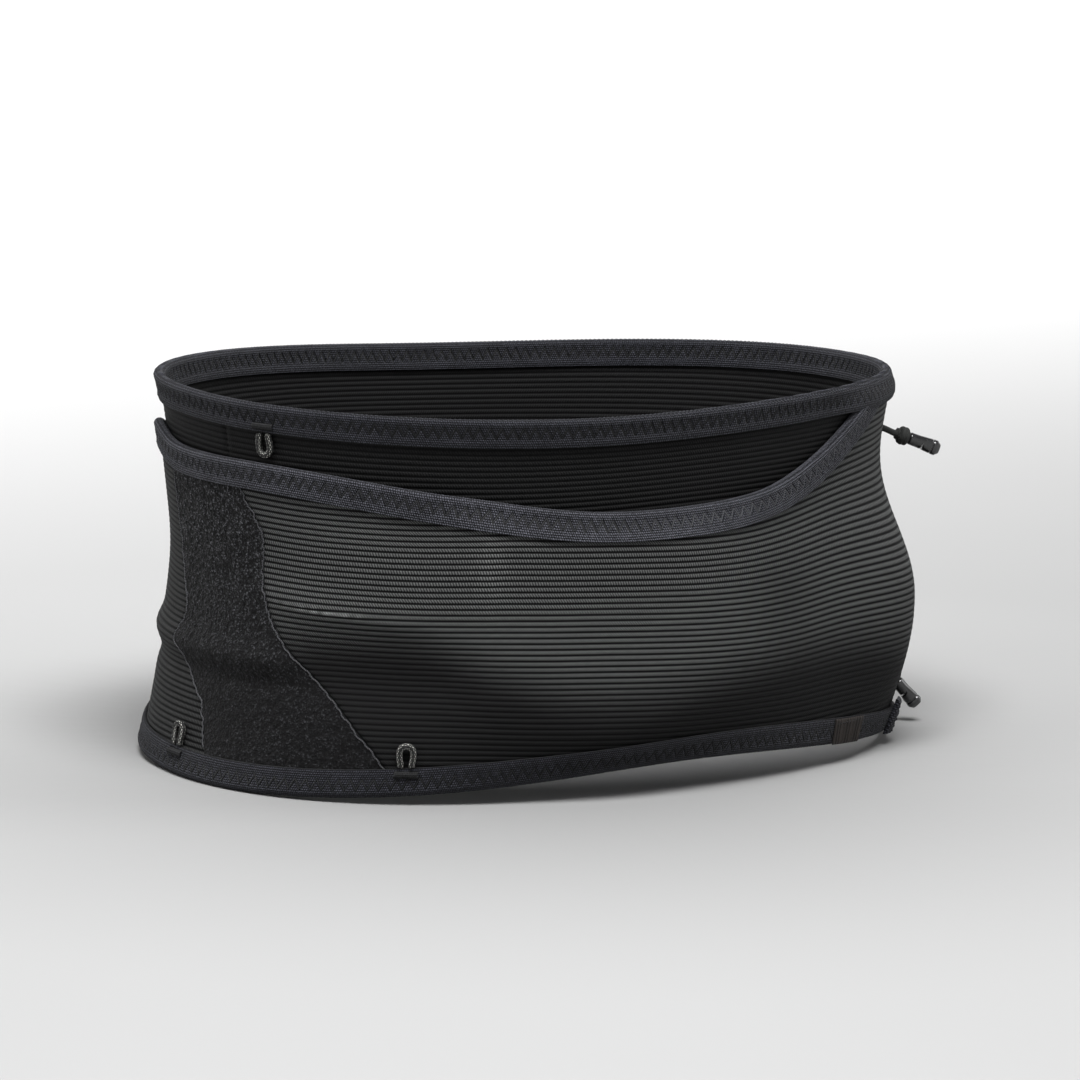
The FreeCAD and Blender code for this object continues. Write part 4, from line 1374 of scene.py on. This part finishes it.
def braided(radius: float, path: Array, sides: int, strands: int, pitch: float, depth: float) -> Array:
    """Radius of a braided cord: two families of crossing strands stand out as rounded ribs."""
    around = np.linspace(0, 2 * np.pi, sides, endpoint=False)[:, None]
    along = arc_lengths(path) * 2 * np.pi / pitch
    left = np.cos(strands * around / 2 + along / 2) ** 2
    right = np.cos(strands * around / 2 - along / 2) ** 2
    return radius * (1 - depth + depth * np.maximum(left, right))


@dataclass(frozen=True)
class CordLoop:
    """Sewn loop of round braided cord that stands or hangs on the cloth."""
    node: str
    angle: float
    hangs: bool
    radius: float = 1.25
    spacing: float = 5.0
    straight: float = 4.3

    def seat(self) -> Seat:
        """The loop's feet: under the top binding, or over the bottom binding."""
        lift = FORM.gap + self.radius
        if self.hangs:
            height = float(FORM.under_top(self.angle)) - self.radius
            return Seat.on_cloth(self.angle, height,
                             lambda angle, level: FORM.mesh + lift + 0 * angle, True)
        height = float(FORM.over_bottom(self.angle)) + self.radius
        return Seat.on_cloth(self.angle, height,
                             lambda angle, level: on_pocket(angle, level) + self.radius)

    def build(self, finishes: Finishes) -> None:
        """Make the loop: a leg, a slightly pinched bow and a leg back."""
        turn = np.linspace(0, np.pi, 41)[1:-1]
        half = self.spacing / 2
        leg = np.linspace(-0.9, self.straight, 22)
        pinch = 0.45 * bell(leg, 0.0, 1.6)
        left = np.stack([-half + pinch, leg, -0.25 * bell(leg, -0.9, 1.0)], axis=-1)
        bow = np.stack([-half * np.cos(turn), self.straight + half * 1.05 * np.sin(turn),
                        0.25 * np.sin(turn)], axis=-1)
        right = (left * [-1, 1, 1])[::-1]
        local = np.concatenate([left, bow, right])
        seat = self.seat()
        path = seat.place(local)
        sides = 24
        fine = np.linspace(0, arc_lengths(path)[-1], 150)
        path = np.stack([np.interp(fine, arc_lengths(path), path[:, axis]) for axis in range(3)], axis=-1)
        radius = braided(self.radius * 0.98, path, sides, 8, 1.5, 0.10)
        piece = tube(self.node + "_cord", path, np.broadcast_to(seat.outward, path.shape), radius, sides)
        dress(piece, finishes.tracer, self.node, [self.node])


# The hook's profile: place along it and half-width there, in millimetres
HOOK_PROFILE = ((0.0, 0.0), (0.0, 1.9), (0.15, 2.25), (0.5, 2.5), (4.5, 2.56), (9.2, 2.98),
                (9.7, 2.72), (10.2, 3.02), (11.0, 3.1), (11.5, 3.06), (12.2, 2.6), (12.85, 2.15),
                (13.0, 1.95), (13.0, 0.0))


@dataclass(frozen=True)
class ToggleHook:
    """Moulded hook on two strands of elastic cord with a knot between them."""
    side: str
    height: float
    tilt: float
    cord: float = 8.0
    spacing: float = 2.8
    knot: float = 2.5
    knot_cord: float = 2.6
    head: float = 3.1
    strand: float = 1.24

    def knot_end(self) -> float:
        """Place along the cord where the knot ends."""
        return self.cord + 0.2 + self.knot_cord * 1.85

    def seat(self) -> Seat:
        """Root of the cord on the right seam: outwards and down, forwards along the ring, and up."""
        def tape(angle: Number, level: Number) -> Number:
            """Standing-off of the seam tape's face."""
            return on_pocket(angle, level) + FORM.gap + FORM.tape

        foot = Seat.on_cloth(FORM.seam, self.height, tape)
        outward = unit(foot.outward * [1, 1, 0])
        down = math.radians(self.tilt)
        along = outward * math.cos(down) - np.array([0, 0, 1]) * math.sin(down)
        aside = np.cross([0, 0, 1], outward)
        heel = 1.25 * math.sin(math.acos(float(np.clip(along @ foot.outward, -1, 1))))
        return Seat(foot.origin + foot.outward * heel, along, aside, np.cross(along, aside))

    def build(self, finishes: Finishes) -> None:
        """Make cord, knot and hook."""
        seat = self.seat()
        self.strands(seat, finishes)
        self.winding(seat, finishes)
        self.moulding(seat, finishes)

    def strands(self, seat: Seat, finishes: Finishes) -> None:
        """Two strands of elastic cord side by side, which bend between their root and the knot."""
        along = np.linspace(-0.6, self.cord + 1.0, 60)
        cords = []
        for sign in (-1.0, 1.0):
            lean = sign * self.spacing / 2 * (1 - 0.25 * bell(along, self.cord + 1, 2.5))
            local = np.stack([along, lean, 0.12 * np.sin(along * 0.7)], axis=-1)
            path = seat.place(local)
            radius = braided(self.strand, path, 20, 10, 1.0, 0.07)
            cords.append(tube("strand", path, np.broadcast_to(seat.outward, path.shape), radius, 20))
        piece = merged(self.side + "_hook_cord_strands", cords)
        dress(piece, finishes.cord, "", [self.side + "_hook_cord"])
        start, end = seat.origin * MM, (seat.origin + seat.across * self.cord) * MM
        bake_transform(piece)

    def winding(self, seat: Seat, finishes: Finishes) -> None:
        """Knot: the cord wound two and a half times round itself, with one turn crossing over."""
        turns = np.linspace(0, 2.9 * 2 * np.pi, 210)
        share = turns / turns[-1]
        first = self.cord + 0.2 + self.knot_cord / 2
        along = first + self.knot_cord * 0.85 * ease(share) + 0.2 * np.sin(turns * 0.5 + 0.7)
        ends = bell(share, 0.0, 0.05) + bell(share, 1.0, 0.05)
        reach = self.knot - 0.15 + 0.2 * bell(share, 0.5, 0.2) - 1.5 * ends
        local = np.stack([along, reach * np.cos(turns + 2.2), reach * np.sin(turns + 2.2)], axis=-1)
        path = seat.place(local)
        inward = seat.origin + seat.across * along[:, None] - path
        wound = tube("winding", path, -inward, braided(self.strand, path, 20, 10, 1.0, 0.09), 20)
        core_along = np.linspace(self.cord - 0.4, self.knot_end(), 12)
        core_path = seat.place(np.stack([core_along, 0 * core_along, 0 * core_along], axis=-1))
        core = tube("core", core_path, np.broadcast_to(seat.outward, core_path.shape), 2.3, 24)
        piece = merged(self.side + "_hook_knot_winding", [wound, core])
        dress(piece, finishes.cord, self.side + "_hook", [self.side + "_hook_knot"])

    def moulding(self, seat: Seat, finishes: Finishes) -> None:
        """Hook: a barrel that swells to a squared, bevelled head, with a slit that leans back.

        The section is a superellipse that goes from round at the knot to squarer at the head.
        The slit is cut from below: its points are drawn up to the barrel's middle.
        """
        start = self.knot_end() + 0.2
        places, radii = np.array(HOOK_PROFILE).T
        length = arc_lengths(np.stack([places, radii], axis=-1))
        fine = np.linspace(0.05, length[-1] - 0.05, 210)
        along, radius = np.interp(fine, length, places), np.interp(fine, length, radii)
        around = np.linspace(0, 2 * np.pi, 96, endpoint=False)[:, None]
        power = 2 + 1.2 * rise_between(along, 3.0, 12.0)
        section = (np.abs(np.cos(around)) ** power + np.abs(np.sin(around)) ** power) ** (-1 / power)
        aside, rise = radius * section * np.cos(around), radius * section * np.sin(around)
        slit = 5.6 - 1.1 * rise / self.head - 0.10 * rise ** 2
        inside = 1 - rise_between(np.abs(along - slit), 0.32, 0.48)
        rise = np.where(rise < 0, rise * (1 - inside), rise)
        local = np.stack(np.broadcast_arrays(start + along, aside, rise), axis=-1)
        points = (seat.origin + local[..., :1] * seat.across + local[..., 1:2] * seat.climb
                  + local[..., 2:3] * seat.outward)
        chart = np.stack(np.meshgrid(np.linspace(0, 1, 97), np.append(fine, fine[-1]), indexing="ij"),
                         axis=-1)
        piece = write_mesh(self.side + "_hook_moulding", points, chart, Ends.FACE)
        dress(piece, finishes.hook, self.side + "_hook", [self.side + "_hook"])


def make_loops_and_hooks(finishes: Finishes) -> None:
    """Three cord loops and two toggle hooks."""
    for node, angle, hangs in (("upper_loop", -73.5, True), ("lower_rear_loop", -49.5, False),
                               ("lower_front_loop", -89.0, False)):
        CordLoop(node, angle, hangs).build(finishes)
    ToggleHook("upper", 44.0, 20.0).build(finishes)
    ToggleHook("lower", -48.5, 48.0).build(finishes)


# ---------------------------------------------------------------- camera, light and floor

@dataclass(frozen=True)
class Studio:
    """Camera, soft lights and pale floor."""
    azimuth: float = -32.0
    elevation: float = 9.5
    distance: float = 1.9
    roll: float = 1.4
    lens: float = 164.0
    aside: float = 6.2 * MM
    raised: float = 2.95 * MM

    def camera(self) -> None:
        """Camera behind the wearer's left shoulder, a long way off with a long lens."""
        turn, tilt, roll = (math.radians(value) for value in (self.azimuth, self.elevation, self.roll))
        back = np.array([math.sin(turn) * math.cos(tilt), -math.cos(turn) * math.cos(tilt), math.sin(tilt)])
        right = unit(np.cross(-back, [0, 0, 1]))
        up = np.cross(back, right)
        aim = right * self.aside + np.array([0, 0, self.raised])
        side = right * math.cos(roll) + up * math.sin(roll)
        rise = up * math.cos(roll) - right * math.sin(roll)
        data = bpy.data.cameras.new("camera")
        data.lens = self.lens
        data.sensor_width = 36.0
        data.clip_end = 50.0
        camera = bpy.data.objects.new("camera", data)
        matrix = np.eye(4)
        matrix[:3, 0], matrix[:3, 1], matrix[:3, 2] = side, rise, back
        matrix[:3, 3] = aim + back * self.distance
        camera.matrix_world = Matrix(matrix.tolist())
        bpy.context.scene.collection.objects.link(camera)
        bpy.context.scene.camera = camera

    def lamp(self, name: str, place: tuple, size: tuple[float, float], power: float) -> None:
        """Rectangular soft light that points at the belt."""
        data = bpy.data.lights.new(name, "AREA")
        data.shape = "RECTANGLE"
        data.size, data.size_y = size
        data.energy = power
        lamp = bpy.data.objects.new(name, data)
        back = unit(np.array(place, dtype=float))
        helper = [0, 0, 1] if abs(back[2]) < 0.95 else [0, 1, 0]
        right = unit(np.cross(helper, back))
        matrix = np.eye(4)
        matrix[:3, 0], matrix[:3, 1], matrix[:3, 2] = right, np.cross(back, right), back
        matrix[:3, 3] = place
        lamp.matrix_world = Matrix(matrix.tolist())
        bpy.context.scene.collection.objects.link(lamp)

    def build(self) -> None:
        """Camera, lights, world and a floor that curves up at the back."""
        self.camera()
        self.lamp("overhead_softbox", (-0.40, -0.75, 1.95), (1.5, 1.0), 98.0)
        self.lamp("left_softbox", (-1.9, -0.1, 1.0), (0.9, 1.2), 10.0)
        self.lamp("right_softbox", (1.7, -0.7, 1.0), (0.8, 1.2), 10.0)
        bpy.context.scene.view_settings.view_transform = "Standard"
        world = bpy.data.worlds.new("studio_world")
        world.use_nodes = True
        world.node_tree.nodes["Background"].inputs[0].default_value = (0.96, 0.98, 1.0, 1.0)
        world.node_tree.nodes["Background"].inputs[1].default_value = 0.12
        bpy.context.scene.world = world
        self.floor()

    def floor(self) -> None:
        """Pale round floor at the belt's lowest point that curves up all round, far outside the lights; its
        far part glows as painted light.
        """
        level = CAD_BOX[0][2] / MM
        reach = np.array([0.01, 400.0, 1200.0, 2100.0, 2500.0, 2800.0, 2950.0, 3000.0])[:, None]
        height = level + np.array([0.0, 0.0, 0.0, 0.0, 90.0, 380.0, 900.0, 2600.0])[:, None]
        turn = np.linspace(0, 2 * np.pi, 96, endpoint=False)
        front = np.stack(np.broadcast_arrays(reach * np.cos(turn), reach * np.sin(turn), height), axis=-1)
        back = front - np.array([0, 0, 5.0])
        chart = np.zeros((len(reach), len(turn) + 1, 2))
        floor = two_sided("floor", front, back, chart, chart, True)
        floor.data.materials.append(BackdropFinish().make())
        floor.data.flip_normals()


# ---------------------------------------------------------------- the whole belt


def main() -> None:
    """Build the belt piece by piece."""
    logging.basicConfig(level=logging.INFO, format="%(name)s %(message)s")
    finishes = Finishes()
    Studio().build()
    make_mesh_panels(finishes)
    make_bindings(finishes)
    SidePanel().build(finishes)
    make_trim(finishes)
    make_loops_and_hooks(finishes)


if __name__ == "__main__":
    main()
